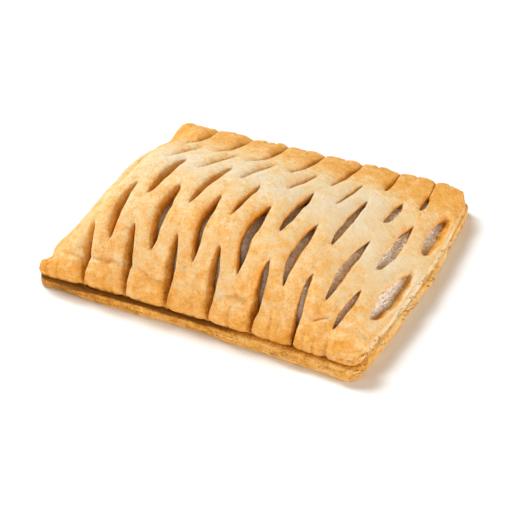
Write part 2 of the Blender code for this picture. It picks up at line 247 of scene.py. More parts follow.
@dataclass(frozen=True)
class Dome:
    """The outer face of the top sheet: a steep front, a crest, and a long fall to the back and the right."""

    plan: Plan = Plan()
    rim_height: float = 0.0091
    rise: float = 0.0262
    front_wall: float = 0.0080
    front_power: float = 1.6
    crest_y: float = 0.0300
    back_powers: tuple[float, float] = (1.6, 1.35)
    shoulder_x: float = -0.0087
    right_powers: tuple[float, float] = (1.8, 1.1)
    left_wall: float = 0.0136
    left_wall_back: float = 0.0092
    left_power: float = 1.5
    wall_change: tuple[float, float] = (0.25, 0.35)
    back_lift: float = 0.0014
    lift_from: float = 0.6
    lift_power: int = 6
    slope_step: float = 0.0004

    @staticmethod
    def fall(share: np.ndarray, powers: tuple[float, float]) -> np.ndarray:
        """A fall from 1 to nothing, the first power its shoulder and the second its foot."""
        return (1.0 - share ** powers[0]) ** powers[1]

    def height(self, x: np.ndarray, y: np.ndarray) -> np.ndarray:
        """Height of the dome.

        Args:
            x: Places across.
            y: Places along.

        Returns:
            Heights above the table.
        """
        plan = self.plan
        depth = np.clip(y - plan.front_y, 0.0, plan.depth)
        front = 1.0 - np.exp(-((depth / self.front_wall) ** self.front_power))
        behind = np.clip((depth - self.crest_y) / (plan.depth - self.crest_y), 0.0, 1.0)
        back = self.fall(behind, self.back_powers)
        inward = np.clip(x - plan.left(y), 0.0, None)
        start, length = self.wall_change
        change = smooth_step((depth - start * plan.depth) / (length * plan.depth))
        wall = self.left_wall + (self.left_wall_back - self.left_wall) * change
        left = 1.0 - np.exp(-((inward / wall) ** self.left_power))
        outward = np.clip((x - self.shoulder_x) / (plan.right(y) - self.shoulder_x), 0.0, 1.0)
        right = self.fall(outward, self.right_powers)
        lifted = smooth_step((depth - self.lift_from * plan.depth) / ((1.0 - self.lift_from) * plan.depth))
        lift = self.back_lift * lifted * (1.0 - outward**self.lift_power)
        return self.rim_height + lift + self.rise * front * back * left * right

    def normal(self, x: np.ndarray, y: np.ndarray) -> np.ndarray:
        """Unit normals of the dome, from its slope over a short step.

        Args:
            x: Places across.
            y: Places along.

        Returns:
            One row for each place.
        """
        step = self.slope_step
        across = (self.height(x + step, y) - self.height(x - step, y)) / (2.0 * step)
        along = (self.height(x, y + step) - self.height(x, y - step)) / (2.0 * step)
        normal = np.stack([-across, -along, np.ones_like(across)], axis=-1)
        return normal / np.linalg.norm(normal, axis=-1, keepdims=True)


@dataclass(frozen=True)
class Slit:
    """One cut through the top sheet.

    Attributes:
        column: Its place across, in pitches.
        start: Its front end, as a length along the sheet in pitches.
        end: Its back end.
        opening: Its width in metres where it is widest.
        front_drift: How far its front end lies aside of the even lattice, in metres.
        back_drift: The same at its back end.
    """

    column: float
    start: float
    end: float
    opening: float
    front_drift: float = 0.0
    back_drift: float = 0.0


@dataclass(frozen=True)
class Lattice:
    """The pattern of the cuts, and the way from the flat sheet onto the dome.

    Attributes:
        even_share: The front share of the sheet whose steps are alike. The rest is stretched to the back rim.
        open_share: The front share of a cut to the back rim that stands open.
        uneven: How much each cut's width wanders.
        rows: The column of each row's first cut, and the sizes of its seven cuts, as Slit takes them.
    """

    dome: Dome = Dome()
    pitch: float = 0.015
    first_x: float = -0.0418
    sheet_length: float = 8.2
    even_share: float = 0.62
    left_column: float = -0.25
    right_column: float = 7.85
    squeezed_from: tuple[float, float] = (1.0, 5.5)
    rim_opening: float = 0.0013
    back_opening: float = 0.0002
    open_share: float = 0.50
    lens_power: float = 0.55
    uneven: float = 0.08
    drift_reach: float = 0.3
    wander: float = 0.0005
    wander_size: tuple[float, float, float] = (0.020, 0.012, 1.0)
    still_reach: tuple[float, float] = (0.008, 0.006)
    wandering: Noise = Noise(53)
    rows: tuple[tuple[float, tuple[tuple[float, ...], ...]], ...] = (
        (1.0, (
            (0.0, 1.3, 0.0028, -0.0006, -0.0007), (0.0, 1.5, 0.0030), (0.0, 1.5, 0.0031, 0.0, 0.0006),
            (0.0, 1.5, 0.0031, 0.0, 0.0005), (0.0, 1.5, 0.0029, 0.0, 0.0016),
            (0.0, 1.5, 0.0022, 0.0, -0.0002), (0.45, 1.7, 0.0022, -0.0002, 0.0006),
        )),
        (1.5, (
            (1.0, 2.7, 0.0035, -0.0002, -0.0002), (1.0, 2.9, 0.0041, 0.0002, 0.0002),
            (1.0, 2.9, 0.0031, 0.0002, 0.0003), (1.0, 3.1, 0.0040, 0.0002, 0.0002),
            (1.0, 3.1, 0.0032, 0.0, 0.0003), (1.0, 3.35, 0.0030, 0.0, 0.0009),
            (1.15, 3.1, 0.0056, 0.0013, 0.0019),
        )),
        (1.0, (
            (2.3, 4.1, 0.0016, -0.0008, -0.0028), (2.3, 4.3, 0.0034, 0.0, -0.0016),
            (2.3, 4.5, 0.0026, 0.0002, 0.0), (2.3, 3.85, 0.0017, -0.0002, -0.0004),
            (2.3, 4.5, 0.0030, 0.0002, -0.0012), (2.5, 5.15, 0.0027, 0.0, -0.0018),
            (2.5, 4.7, 0.0040, 0.0008, 0.0010),
        )),
        (1.5, (
            (4.1, 5.9, 0.0003), (3.85, 5.9, 0.0003, -0.0004, 0.0), (3.85, 5.9, 0.0003),
            (4.1, 6.1, 0.0004, -0.0005, 0.0), (4.3, 6.4, 0.0013, -0.0004, -0.0003),
            (4.3, 5.9, 0.0033, 0.0006, 0.0006), (3.85, 5.9, 0.0060, 0.0017, 0.0019),
        )),
        (1.0, (
            (5.65, 8.2, 0.0003), (5.65, 8.2, 0.0003), (5.4, 8.2, 0.0003), (5.4, 8.2, 0.0003),
            (5.4, 8.2, 0.0004), (6.4, 8.2, 0.0006), (5.65, 8.2, 0.0022, -0.0001, -0.0003),
        )),
    )

    @cached_property
    def slits(self) -> tuple[Slit, ...]:
        """Every cut of every row."""
        return tuple(Slit(first + n, *sizes) for first, cuts in self.rows for n, sizes in enumerate(cuts))

    def half_opening(self, slit: Slit, step: np.ndarray) -> np.ndarray:
        """Half the width of a cut along its length.

        Args:
            slit: The cut.
            step: Lengths along the sheet, in pitches.

        Returns:
            Half widths in metres, pointed at both ends or nearly shut at the rim.
        """
        to_back = slit.end == self.sheet_length
        length = (slit.end - slit.start) * (self.open_share if to_back else 1.0)
        share = np.clip((step - slit.start) / length, 0.0, 1.0)
        lens = 0.5 * slit.opening * np.sin(np.pi * share) ** self.lens_power
        waves = np.sin(7.0 * step + 5.0 * slit.column) + 0.35 * np.sin(15.0 * step + 3.0 * slit.column)
        lens *= 1.0 + self.uneven * waves
        front_rim = (slit.start == 0.0) & (share < 0.5)
        back_rim = to_back & (share > 0.5)
        least = np.where(front_rim, 0.5 * self.rim_opening, np.where(back_rim, 0.5 * self.back_opening, 0.0))
        return np.maximum(lens, least)

    def drift(self, column: np.ndarray, step: np.ndarray) -> np.ndarray:
        """How far the sheet lies aside of the even lattice, to where its cuts are.

        Args:
            column: Places across in pitches.
            step: Lengths along the sheet in pitches.

        Returns:
            Moves across in metres.
        """
        aside = np.zeros(len(column))
        for slit in self.slits:
            share = np.clip((step - slit.start) / (slit.end - slit.start), 0.0, 1.0)
            past = np.maximum(slit.start - step, 0.0) + np.maximum(step - slit.end, 0.0)
            near = bell((column - slit.column) / self.drift_reach) * (1.0 - smooth_step(2.0 * past))
            aside += near * (slit.front_drift + (slit.back_drift - slit.front_drift) * share)
        return aside * smooth_step((self.right_column - column) / 0.35)

    def moved_aside(self, column: np.ndarray, step: np.ndarray, lip_side: np.ndarray) -> np.ndarray:
        """How far the sheet moves across for the cuts beside it.

        Args:
            column: Places across in pitches.
            step: Lengths along the sheet in pitches.
            lip_side: Which lip a point on a cut is on, 1 or -1.

        Returns:
            Moves in metres: all the way at a lip, and none half a pitch from it.
        """
        moved = np.zeros(len(column))
        for slit in self.slits:
            off = column - slit.column
            reach = np.where(off < 0.0, 0.5, min(0.5, self.right_column - slit.column))
            near = (np.abs(off) < reach) & (step >= slit.start) & (step <= slit.end)
            side = np.where(np.abs(off) < 1e-6, lip_side, np.sign(off))
            moved += near * side * self.half_opening(slit, step) * (1.0 - np.abs(off) / reach)
        return moved

    def across(self, column: np.ndarray, y: np.ndarray) -> np.ndarray:
        """X of a place in pitches, squeezed or spread to the outline's sides.

        Args:
            column: Places across in pitches.
            y: Places along in metres.

        Returns:
            X in metres.
        """
        plan = self.dome.plan
        right_end = self.first_x + (self.right_column - 1.0) * self.pitch
        left_end = self.first_x + (self.left_column - 1.0) * self.pitch
        left_from, right_from = self.squeezed_from
        to_right = smooth_step((column - right_from) / (self.right_column - right_from))
        to_left = smooth_step((left_from - column) / (left_from - self.left_column))
        x = self.first_x + (column - 1.0) * self.pitch + 0.0 * y
        places = np.stack([x, y, np.zeros_like(x)], axis=-1)
        from_side, from_end = self.still_reach
        inside = smooth_step(plan.to_side(x, y) / from_side) * smooth_step(plan.to_end(y) / from_end)
        drift = self.wander * inside * self.wandering.at(places, self.wander_size, 2)
        return x + drift + (plan.right(y) - right_end) * to_right + (plan.left(y) - left_end) * to_left

    def along(self, column: np.ndarray, step: np.ndarray) -> np.ndarray:
        """Y of places given by their length along the bent sheet.

        Args:
            column: Places across in pitches.
            step: Lengths from the front rim in pitches.

        Returns:
            Y in metres.
        """
        plan = self.dome.plan
        even = self.even_share * self.sheet_length * self.pitch
        whole = self.sheet_length * self.pitch
        result = np.zeros(len(column))
        y = np.linspace(plan.front_y, plan.front_y + plan.depth, 600)
        for value in np.unique(column):
            x = self.across(value, y)
            z = self.dome.height(x, y)
            pieces = np.sqrt(np.diff(x) ** 2 + np.diff(y) ** 2 + np.diff(z) ** 2)
            length = np.concatenate([[0.0], np.cumsum(pieces)])
            here = column == value
            wanted = step[here] * self.pitch
            share = (wanted - even) / (whole - even)
            wanted = np.where(wanted > even, even + share * (length[-1] - even), wanted)
            result[here] = np.interp(wanted, length, y)
        return result


@dataclass(frozen=True)
class Sheet:
    """The thickness of the top sheet and the way that it rounds off at its cuts and its rim.

    Attributes:
        left_lip: How far in from a cut the left lip's fall begins, and how deep it goes.
        right_lip: The same for the right lip.
        left_pleat: The same for the left lip of a nearly shut cut.
        right_pleat: The same for its right lip.
        crease: The share of that fall at a cut's pointed end.
        lean_shares: How far the foot of a left wall lies across its cut: everywhere, in front, at the rim.
        flanks: The same for a right wall: in the last column of cuts, and in the others.
    """

    lattice: Lattice = Lattice()
    thickness: float = 0.0041
    thinnest: float = 0.0026
    thin_from: float = 0.020
    thin_over: float = 0.035
    thin_inside: float = 0.012
    left_lip: tuple[float, float] = (0.0021, 0.0013)
    right_lip: tuple[float, float] = (0.0008, 0.0006)
    left_pleat: tuple[float, float] = (0.0044, 0.0024)
    right_pleat: tuple[float, float] = (0.0018, 0.0015)
    pleat_opening: float = 0.0010
    pleat_least: float = 0.30
    pleat_fade: tuple[float, float, float] = (7.2, 0.9, 0.72)
    side_blend: float = 0.0008
    rim_radius: float = 0.0022
    crease: float = 0.55
    wide_opening: float = 0.0012
    crown_reach: float = 0.0042
    crown_drop: float = 0.0006
    rim_drop: float = 0.0010
    underside_share: float = 0.15
    lean_shares: tuple[float, float, float] = (0.16, 0.16, 0.50)
    flanks: tuple[float, float] = (-0.88, -0.10)
    undercut: float = 0.0009
    tab_notch: float = 0.0007
    notch_width: float = 0.0016

    def thickness_at(self, x: np.ndarray, y: np.ndarray) -> np.ndarray:
        """Thickness at each place, less where the sheet is stretched over the right end."""
        plan = self.lattice.dome.plan
        right = smooth_step((x - self.thin_from) / self.thin_over)
        inside = smooth_step(plan.rim_distance(x, y) / self.thin_inside)
        return self.thickness + (self.thinnest - self.thickness) * right * inside

    def lip_fall(self, column: np.ndarray, step: np.ndarray) -> np.ndarray:
        """How far the outer face falls towards the cuts: a round lip, and a slight crown between two cuts.

        Args:
            column: Places across in pitches, as moved by the cuts.
            step: Lengths along the sheet in pitches.

        Returns:
            The fall in metres at the full thickness.
        """
        pitch = self.lattice.pitch
        fall = np.zeros(len(column))
        for slit in self.lattice.slits:
            near = np.abs(column - slit.column) * pitch < 2.5 * self.crown_reach
            half = self.lattice.half_opening(slit, step[near])
            away = np.maximum(np.abs(column[near] - slit.column) * pitch - half, 0.0)
            before = np.maximum(slit.start - step[near], 0.0) * pitch
            after = np.maximum(step[near] - slit.end, 0.0) * pitch
            past = np.hypot(away, before + after)
            depth = self.crease + (1.0 - self.crease) * np.clip(half / self.wide_opening, 0.0, 1.0)
            lips = (self.left_lip, self.right_lip)
            if slit.opening < self.pleat_opening:
                share = np.clip((step[near] - slit.start) / (slit.end - slit.start), 0.0, 1.0)
                share = np.minimum(share, 0.5) if slit.end == self.lattice.sheet_length else share
                start, length, most = self.pleat_fade
                depth = self.pleat_least + (1.0 - self.pleat_least) * np.sqrt(np.sin(np.pi * share))
                depth *= 1.0 - most * smooth_step((step[near] - start) / length)
                lips = (self.left_pleat, self.right_pleat)
            side = smooth_step(0.5 + 0.5 * (column[near] - slit.column) * pitch / self.side_blend)
            reach, drop = ((1.0 - side) * left + side * right for left, right in zip(*lips))
            dip = round_off(past, reach, drop)
            dip += self.crown_drop * (1.0 - smooth_step(past / self.crown_reach))
            fall[near] = np.maximum(fall[near], depth * dip)
        return fall

    def slit_distance(self, column: np.ndarray, step: np.ndarray) -> np.ndarray:
        """Distance in metres to the nearest cut's opening."""
        pitch = self.lattice.pitch
        distance = np.full(len(column), 1.0)
        for slit in self.lattice.slits:
            half = self.lattice.half_opening(slit, step)
            away = np.maximum(np.abs(column - slit.column) * pitch - half, 0.0)
            past = np.maximum(np.maximum(slit.start - step, step - slit.end), 0.0) * pitch
            distance = np.minimum(distance, np.hypot(away, past))
        return distance

    def lean(self, column: np.ndarray, step: np.ndarray, side: np.ndarray,
             x: np.ndarray) -> tuple[np.ndarray, np.ndarray]:
        """How far the foot of a cut's wall lies across the opening, and how far below the sheet.

        Args:
            column: Places across in pitches.
            step: Lengths along the sheet in pitches.
            side: Which lip a point on a cut is on, 1 or -1.
            x: Places across in metres.

        Returns:
            Moves across and moves inward, both nothing away from the cuts.
        """
        across, inward = np.zeros(len(column)), np.zeros(len(column))
        right = smooth_step((x - 0.010) / 0.024)
        front = 1.0 - smooth_step((step - 0.9) / 0.7)
        rim = 1.0 - smooth_step((step - 0.2) / 0.4)
        everywhere, at_front, at_rim = self.lean_shares
        share = (everywhere + at_front * front + at_rim * rim) * (1.0 - 0.6 * right)
        for slit in self.lattice.slits:
            here = (np.abs(column - slit.column) < 1e-6) & (step >= slit.start) & (step <= slit.end)
            opening = 2.0 * self.lattice.half_opening(slit, step)
            flank = self.flanks[0] if slit.column > 7.2 else self.flanks[1]
            across += here * opening * np.where(side < 0.0, share, flank)
            inward += here * smooth_step(opening / self.wide_opening) * self.undercut * (1.0 - right)
        return across, inward

    def notch(self, column: np.ndarray, y: np.ndarray) -> np.ndarray:
        """How far the front and back edges are drawn in where a cut goes through them."""
        plan = self.lattice.dome.plan
        away = np.abs(column - np.clip(np.round(column), 1, 7)) * self.lattice.pitch
        near = np.clip(1.0 - plan.to_end(y) / plan.corner_radius, 0.0, 1.0) ** 2
        return self.tab_notch * bell(away / self.notch_width) * near


@dataclass
class VertexData:
    """Arrays of one value for each vertex, read from the layers of a bmesh."""

    bm: bmesh.types.BMesh

    def read(self, layer: bmesh.types.BMLayerItem) -> np.ndarray:
        """The layer's values in vertex order."""
        return np.array([vert[layer] for vert in self.bm.verts])

    def place(self, points: np.ndarray) -> None:
        """Moves every vertex to its row of points."""
        for vert, point in zip(self.bm.verts, points):
            vert.co = point


def make_piece(name: str, bm: bmesh.types.BMesh, material: bpy.types.Material,
               values: dict[str, np.ndarray]) -> bpy.types.Object:
    """An object from a bmesh, with its material and its point attributes.

    Its faces are put in one order along FACE_ORDER, so that a fixed seed strews the same in each run.

    Args:
        name: The piece's name.
        bm: Its shape, which is freed.
        material: Its finish.
        values: Point attributes by name.

    Returns:
        The object, linked to the scene.
    """
    mesh = bpy.data.meshes.new(name)
    bm.faces.sort(key=lambda face: face.calc_center_median().dot(Vector(FACE_ORDER)))
    bm.to_mesh(mesh)
    bm.free()
    for key, numbers in values.items():
        attribute = mesh.attributes.new(key, "FLOAT", "POINT")
        attribute.data.foreach_set("value", np.ascontiguousarray(numbers, dtype=np.float32))
    mesh.materials.append(material)
    mesh.shade_smooth()
    piece = bpy.data.objects.new(name, mesh)
    bpy.context.scene.collection.objects.link(piece)
    return piece


@dataclass(frozen=True)
class Spot:
    """A round patch of the crust that is baked more, or less, than what lies round it.

    Attributes:
        x: Its middle across, in metres.
        y: Its middle along.
        radius: Its radius.
        amount: How much more it is baked.
    """

    x: float
    y: float
    radius: float
    amount: float

    def at(self, x: np.ndarray, y: np.ndarray) -> np.ndarray:
        """How much the spot adds at each place."""
        return self.amount * bell(np.hypot(x - self.x, y - self.y) / self.radius)


@dataclass(frozen=True)
class BrowningAndHighlight:
    """How far the outer face of the top sheet is baked, 0 pale dough to 1 dark brown, with a painted
    highlight on the crimp.

    Attributes:
        even: The level that all else is added to.
        crest: How much paler the crest is.
        front: How much browner it is below the crimp, and on the whole steep front.
        rim: How much browner the front rim is.
        crimp: How much paler the crimp's crest is painted: a painted highlight.
        back: How much browner the back is.
        left: How much browner the left end is.
        lumps: Height of the broad and of the fine blotches.
        glaze: Column and step of the orange spot at the right front corner, and its two heights.
        most: The most that the face is baked, but for the orange spot.
    """

    even: float = 0.46
    crest: float = 0.30
    front: tuple[float, float] = (0.10, 0.06)
    rim: float = 0.12
    crimp: float = 0.12
    back: float = 0.35
    left: float = 0.28
    lumps: tuple[float, float] = (0.14, 0.15)
    glaze: tuple[float, float, float, float] = (7.33, 0.20, 0.30, 0.15)
    most: float = 0.76
    spots: tuple[Spot, ...] = (
        Spot(0.052, -0.012, 0.016, -0.34),
        Spot(0.030, 0.020, 0.014, -0.204),
        Spot(0.056, 0.040, 0.010, 0.15),
        Spot(-0.050, 0.046, 0.020, 0.16),
        Spot(0.058, 0.050, 0.008, 0.14),
    )
    broad: Noise = Noise(3)
    fine: Noise = Noise(11)

    def at(self, column: np.ndarray, step: np.ndarray, past: np.ndarray, points: np.ndarray,
           x: np.ndarray, y: np.ndarray) -> np.ndarray:
        """The baking at each place.

        Args:
            column: Places across in pitches.
            step: Lengths along the sheet in pitches.
            past: Lengths from the crimp in pitches.
            points: Places in metres, with all their relief.
            x: Places across in metres, without it.
            y: Places along in metres, without it.

        Returns:
            One value for each place.
        """
        crest = bell((y + 0.002 - 0.10 * x) / 0.020)
        crest *= smooth_step((x + 0.052) / 0.02) * (1.0 - smooth_step((x - 0.030) / 0.02))
        bake_and_shading = self.even - self.crest * crest
        below_crimp, whole_front = self.front
        bake_and_shading += below_crimp * smooth_step((0.1 - past) / 0.4)
        bake_and_shading += whole_front * (1.0 - smooth_step((step - 0.3) / 1.4))
        # Painted highlight: the crimp's crest is made paler, and the front rim browner.
        bake_and_shading += self.rim * (1.0 - smooth_step(step / 0.26)) - self.crimp * bell((past - 0.06) / 0.07)
        bake_and_shading += self.back * smooth_step((y - 0.025) / 0.018)
        bake_and_shading += self.left * (1.0 - smooth_step((x + 0.060) / 0.018))
        bake_and_shading += sum(spot.at(x, y) for spot in self.spots)
        broad, fine = self.lumps
        bake_and_shading += broad * self.broad.at(points + 0.3, 0.0085, 2) + fine * self.fine.at(points + 0.7, 0.0030, 3)
        at_column, at_step, wide, narrow = self.glaze
        away = np.hypot(column - at_column, 1.4 * (step - at_step))
        bake_and_shading = np.clip(bake_and_shading + wide * bell(away / 0.17), 0.0, self.most)
        return bake_and_shading + narrow * bell(away / 0.15)


@dataclass
class LatticeTop:
    """The slit top sheet, with its crimped front tabs, blisters and flaky rim.

    Attributes:
        offsets: Places of the grid's columns between two cuts, in shares of the way.
        crimp_step: Length from the front rim to the crimp in the mean, in pitches.
        tab_creases: Columns of the short creases at the front rim.
        back_creases: Columns of those at the back rim.
        dents: Column, step, depth in metres and width in pitches of the single hollows.
    """

    sheet: Sheet = field(default_factory=Sheet)
    brown: BrowningAndHighlight = field(default_factory=BrowningAndHighlight)
    offsets: tuple[float, ...] = (
        0.0, 0.03, 0.07, 0.13, 0.21, 0.30, 0.39, 0.48, 0.57, 0.66, 0.75, 0.83, 0.90, 0.955,
    )
    rows: int = 94
    slit_cuts: int = 5
    rim_cuts: int = 15
    crimp_step: float = 0.42
    crimp_depth: float = 0.00080
    crimp_step_up: float = 0.00085
    pad_puff: float = 0.00030
    tab_blister: float = 0.00060
    seam_fold: float = 0.00020
    tab_crease_depth: float = 0.00078
    tab_creases: tuple[float, ...] = (
        -0.02, 0.28, 0.52, 1.32, 1.55, 1.72, 2.36, 2.58, 3.46, 3.7, 4.5, 5.42, 5.62, 6.3, 6.62, 7.02,
    )
    back_creases: tuple[float, ...] = (0.2, 0.45, 1.5, 2.4, 2.62, 3.5, 4.55, 5.4, 6.45, 7.4)
    dents: tuple[tuple[float, float, float, float], ...] = (
        (3.30, 0.82, 0.0007, 0.13), (3.62, 0.60, 0.0005, 0.10), (6.42, 0.72, 0.0008, 0.12),
        (5.45, 0.62, 0.0005, 0.12), (0.35, 0.75, 0.0004, 0.15), (2.45, 0.75, 0.0003, 0.12),
        (6.9, 2.1, 0.0003, 0.16), (1.4, 0.70, 0.0003, 0.14),
    )
    broad: Noise = Noise(3)
    fine: Noise = Noise(11)
    flake: Noise = Noise(23)

    def columns(self) -> np.ndarray:
        """Places of the grid's columns across, in pitches, close together beside the cuts."""
        inner = [1.0 + 0.5 * (half + part) for half in range(13) for part in self.offsets]
        left = np.concatenate([[-0.25, -0.235, -0.21, -0.18], np.linspace(-0.14, 0.94, 30), [0.97, 0.985]])
        beside = [7.5, 7.515, 7.535, 7.56, 7.59, 7.62]
        return np.concatenate([left, inner, beside, np.linspace(7.65, 7.8, 8), [7.825, 7.84, 7.85]])

    def steps(self) -> np.ndarray:
        """Places of the grid's rows, as lengths along the sheet in pitches, close together at both rims."""
        front = np.linspace(0.0, 0.9, 32, endpoint=False)
        middle = np.linspace(0.9, 7.3, self.rows, endpoint=False)
        return np.concatenate([front, middle, np.linspace(7.3, self.sheet.lattice.sheet_length, 21)])

    def grid(self) -> tuple[bmesh.types.BMesh, dict[str, bmesh.types.BMLayerItem]]:
        """The flat sheet as a grid, cut open along every slit and given its thickness.

        Returns:
            The bmesh, and its layers: column, step, side and deep.
        """
        columns, steps = self.columns(), self.steps()
        bm = bmesh.new()
        layers = {name: bm.verts.layers.float.new(name) for name in ("column", "step", "side", "deep")}
        bmesh.ops.create_grid(bm, x_segments=len(columns) - 1, y_segments=len(steps) - 1, size=0.5)
        for vert in bm.verts:
            column = round((vert.co.x + 0.5) * (len(columns) - 1))
            row = round((vert.co.y + 0.5) * (len(steps) - 1))
            vert[layers["column"]] = columns[column]
            vert[layers["step"]] = steps[row]
        bmesh.ops.split_edges(bm, edges=[edge for edge in bm.edges if self.is_cut(edge, layers)])
        for vert in bm.verts:
            middle = sum(face.calc_center_median().x for face in vert.link_faces) / len(vert.link_faces)
            vert[layers["side"]] = 1.0 if middle > vert.co.x else -1.0
            vert[layers["deep"]] = 1.0
        grown = bmesh.ops.extrude_face_region(bm, geom=bm.faces[:])
        for item in grown["geom"]:
            if isinstance(item, bmesh.types.BMVert):
                item[layers["deep"]] = 0.0
        self.cut_walls(bm, layers)
        return bm, layers

    def is_cut(self, edge: bmesh.types.BMEdge, layers: dict[str, bmesh.types.BMLayerItem]) -> bool:
        """Whether an edge of the grid lies along one of the slits."""
        one, two = edge.verts
        column = one[layers["column"]]
        if abs(column - two[layers["column"]]) > 1e-6:
            return False
        middle = 0.5 * (one[layers["step"]] + two[layers["step"]])
        return any(abs(slit.column - column) < 1e-5 and slit.start < middle < slit.end
                   for slit in self.sheet.lattice.slits)

    def cut_walls(self, bm: bmesh.types.BMesh, layers: dict[str, bmesh.types.BMLayerItem]) -> None:
        """Cuts the walls of the slits and of the rim into strips, for their round and flaky faces."""
        slit_walls, rim_walls = [], []
        length = self.sheet.lattice.sheet_length
        first, last = self.sheet.lattice.left_column, self.sheet.lattice.right_column
        for edge in bm.edges:
            one, two = edge.verts
            if abs(one[layers["deep"]] - two[layers["deep"]]) < 0.5:
                continue
            column, step = one[layers["column"]], one[layers["step"]]
            at_rim = min(step, length - step, column - first, last - column) < 1e-5
            (rim_walls if at_rim else slit_walls).append(edge)
        bmesh.ops.subdivide_edges(bm, edges=slit_walls, cuts=self.slit_cuts)
        bmesh.ops.subdivide_edges(bm, edges=rim_walls, cuts=self.rim_cuts)

    def relief(self, column: np.ndarray, step: np.ndarray, points: np.ndarray) -> np.ndarray:
        """How far the outer face stands out from the smooth dome: undulation, blisters, crimp and creases.

        Args:
            column: Places across in pitches.
            step: Lengths along the sheet in pitches.
            points: The same places in metres.

        Returns:
            Heights along the normal in metres.
        """
        crimp = self.crimp_at(column)
        flat = np.stack([column, np.full_like(column, 0.5), np.zeros_like(column)], axis=-1)
        strength = np.clip(0.60 + 1.5 * self.broad.at(flat, 0.33, 2), 0.0, 1.4)
        height = 0.00034 * self.broad.at(points, 0.012, 2) + 0.00036 * self.fine.at(points, 0.0042, 2)
        height += 0.00015 * self.fine.at(points + 0.1, 0.0017, 2)
        fold = 1.0 - np.abs(self.flake.at(points, (0.013, 0.009, 0.012)))
        height -= self.seam_fold * smooth_step((fold - 0.80) / 0.20)
        past = step - crimp
        edge = self.crimp_step_up * smooth_step(-past / 0.07) - self.crimp_depth * bell((past - 0.045) / 0.05)
        height += strength * edge
        blister = self.fine.at(points + 0.5, (0.0032, 0.0024, 0.0024), 2)
        height += self.tab_blister * blister * smooth_step((0.15 - past) / 0.25)
        height += self.pad_puff * strength * bell((past - 0.26) / 0.12)
        height -= self.creases(column, step)
        height += self.back_pads(column, step)
        height -= 0.0006 * smooth_step((-0.042 - points[:, 0]) / 0.012) * smooth_step((step - 0.8) / 0.6)
        for at, length, depth, width in self.dents:
            height -= depth * bell(np.hypot(column - at, 0.8 * (step - length)) / width)
        return height

    def back_pads(self, column: np.ndarray, step: np.ndarray) -> np.ndarray:
        """Height of the puffed tabs along the back, the highest of them at the left corner."""
        from_back = self.sheet.lattice.sheet_length - step
        pad = 0.0008 * bell((from_back - 0.6) / 0.55) - 0.0007 * bell((from_back - 1.7) / 0.35)
        pad *= 1.0 - 0.6 * smooth_step((column - 5.2) / 1.2)
        corner = 0.0012 * bell((column - 0.15) / 0.62) * bell((from_back - 0.5) / 0.55)
        flat = np.stack([column, np.full_like(column, 0.8), np.zeros_like(column)], axis=-1)
        bumps = 0.00050 * self.fine.at(flat, 0.24, 2) * bell(from_back / 0.5)
        return pad + corner + bumps

    def knob(self, column: np.ndarray, step: np.ndarray, deep: np.ndarray) -> np.ndarray:
        """How the crimped left front corner stands out to the left, and the fold behind it lies in."""
        pad = bell((column + 0.25) / 0.30) * (1.0 - smooth_step((step - 0.22) / 0.16))
        fold = bell((column + 0.25) / 0.22) * bell((step - 0.48) / 0.18)
        move = np.zeros((len(column), 3))
        flap = bell((column + 0.25) / 0.5) * smooth_step((step - 6.0) / 0.9)
        corner = bell((column - 7.85) / 0.42) * smooth_step((step - 7.1) / 1.0)
        move[:, 0] = 0.0012 * fold - 0.0004 * pad + 0.0022 * flap - 0.0017 * corner
        move[:, 1] = -0.0012 * corner
        move[:, 2] = (-0.0007 * pad - 0.0010 * fold) * (1.0 - deep)
        return move

    def crimp_at(self, column: np.ndarray) -> np.ndarray:
        """Length from the front rim to the crimp, which wanders along the pastry."""
        flat = np.stack([column, np.full_like(column, 0.3), np.zeros_like(column)], axis=-1)
        along = 0.16 * smooth_step((column - 5.4) / 1.6) - 0.17 * smooth_step((0.7 - column) / 0.7)
        return self.crimp_step + 0.16 * self.fine.at(flat, 0.45, 3) + along

    def creases(self, column: np.ndarray, step: np.ndarray) -> np.ndarray:
        """Depth of the short creases that run in from the front and back rims."""
        flat = np.stack([8.0 * step, np.full_like(column, 0.3), column], axis=-1)
        wander = 0.02 * self.fine.at(flat, 1.0)
        depth = np.zeros(len(column))
        for n, at in enumerate(self.tab_creases):
            length = 0.24 + 0.10 * math.sin(7.0 * n)
            width = 0.042 + 0.012 * math.sin(3.0 * n + 1.0)
            fade = 1.0 - smooth_step((step - 0.4 * length) / length)
            most = self.tab_crease_depth * (0.7 + 0.3 * math.cos(5.0 * n))
            depth += most * bell((column + wander - at) / width) * fade
        from_back = self.sheet.lattice.sheet_length - step
        for n, at in enumerate(self.back_creases):
            length = 0.45 + 0.15 * math.sin(5.0 * n)
            fade = 1.0 - smooth_step((from_back - 0.3 * length) / length)
            depth += 0.8 * self.tab_crease_depth * bell((column + wander - at) / 0.035) * fade
        return depth

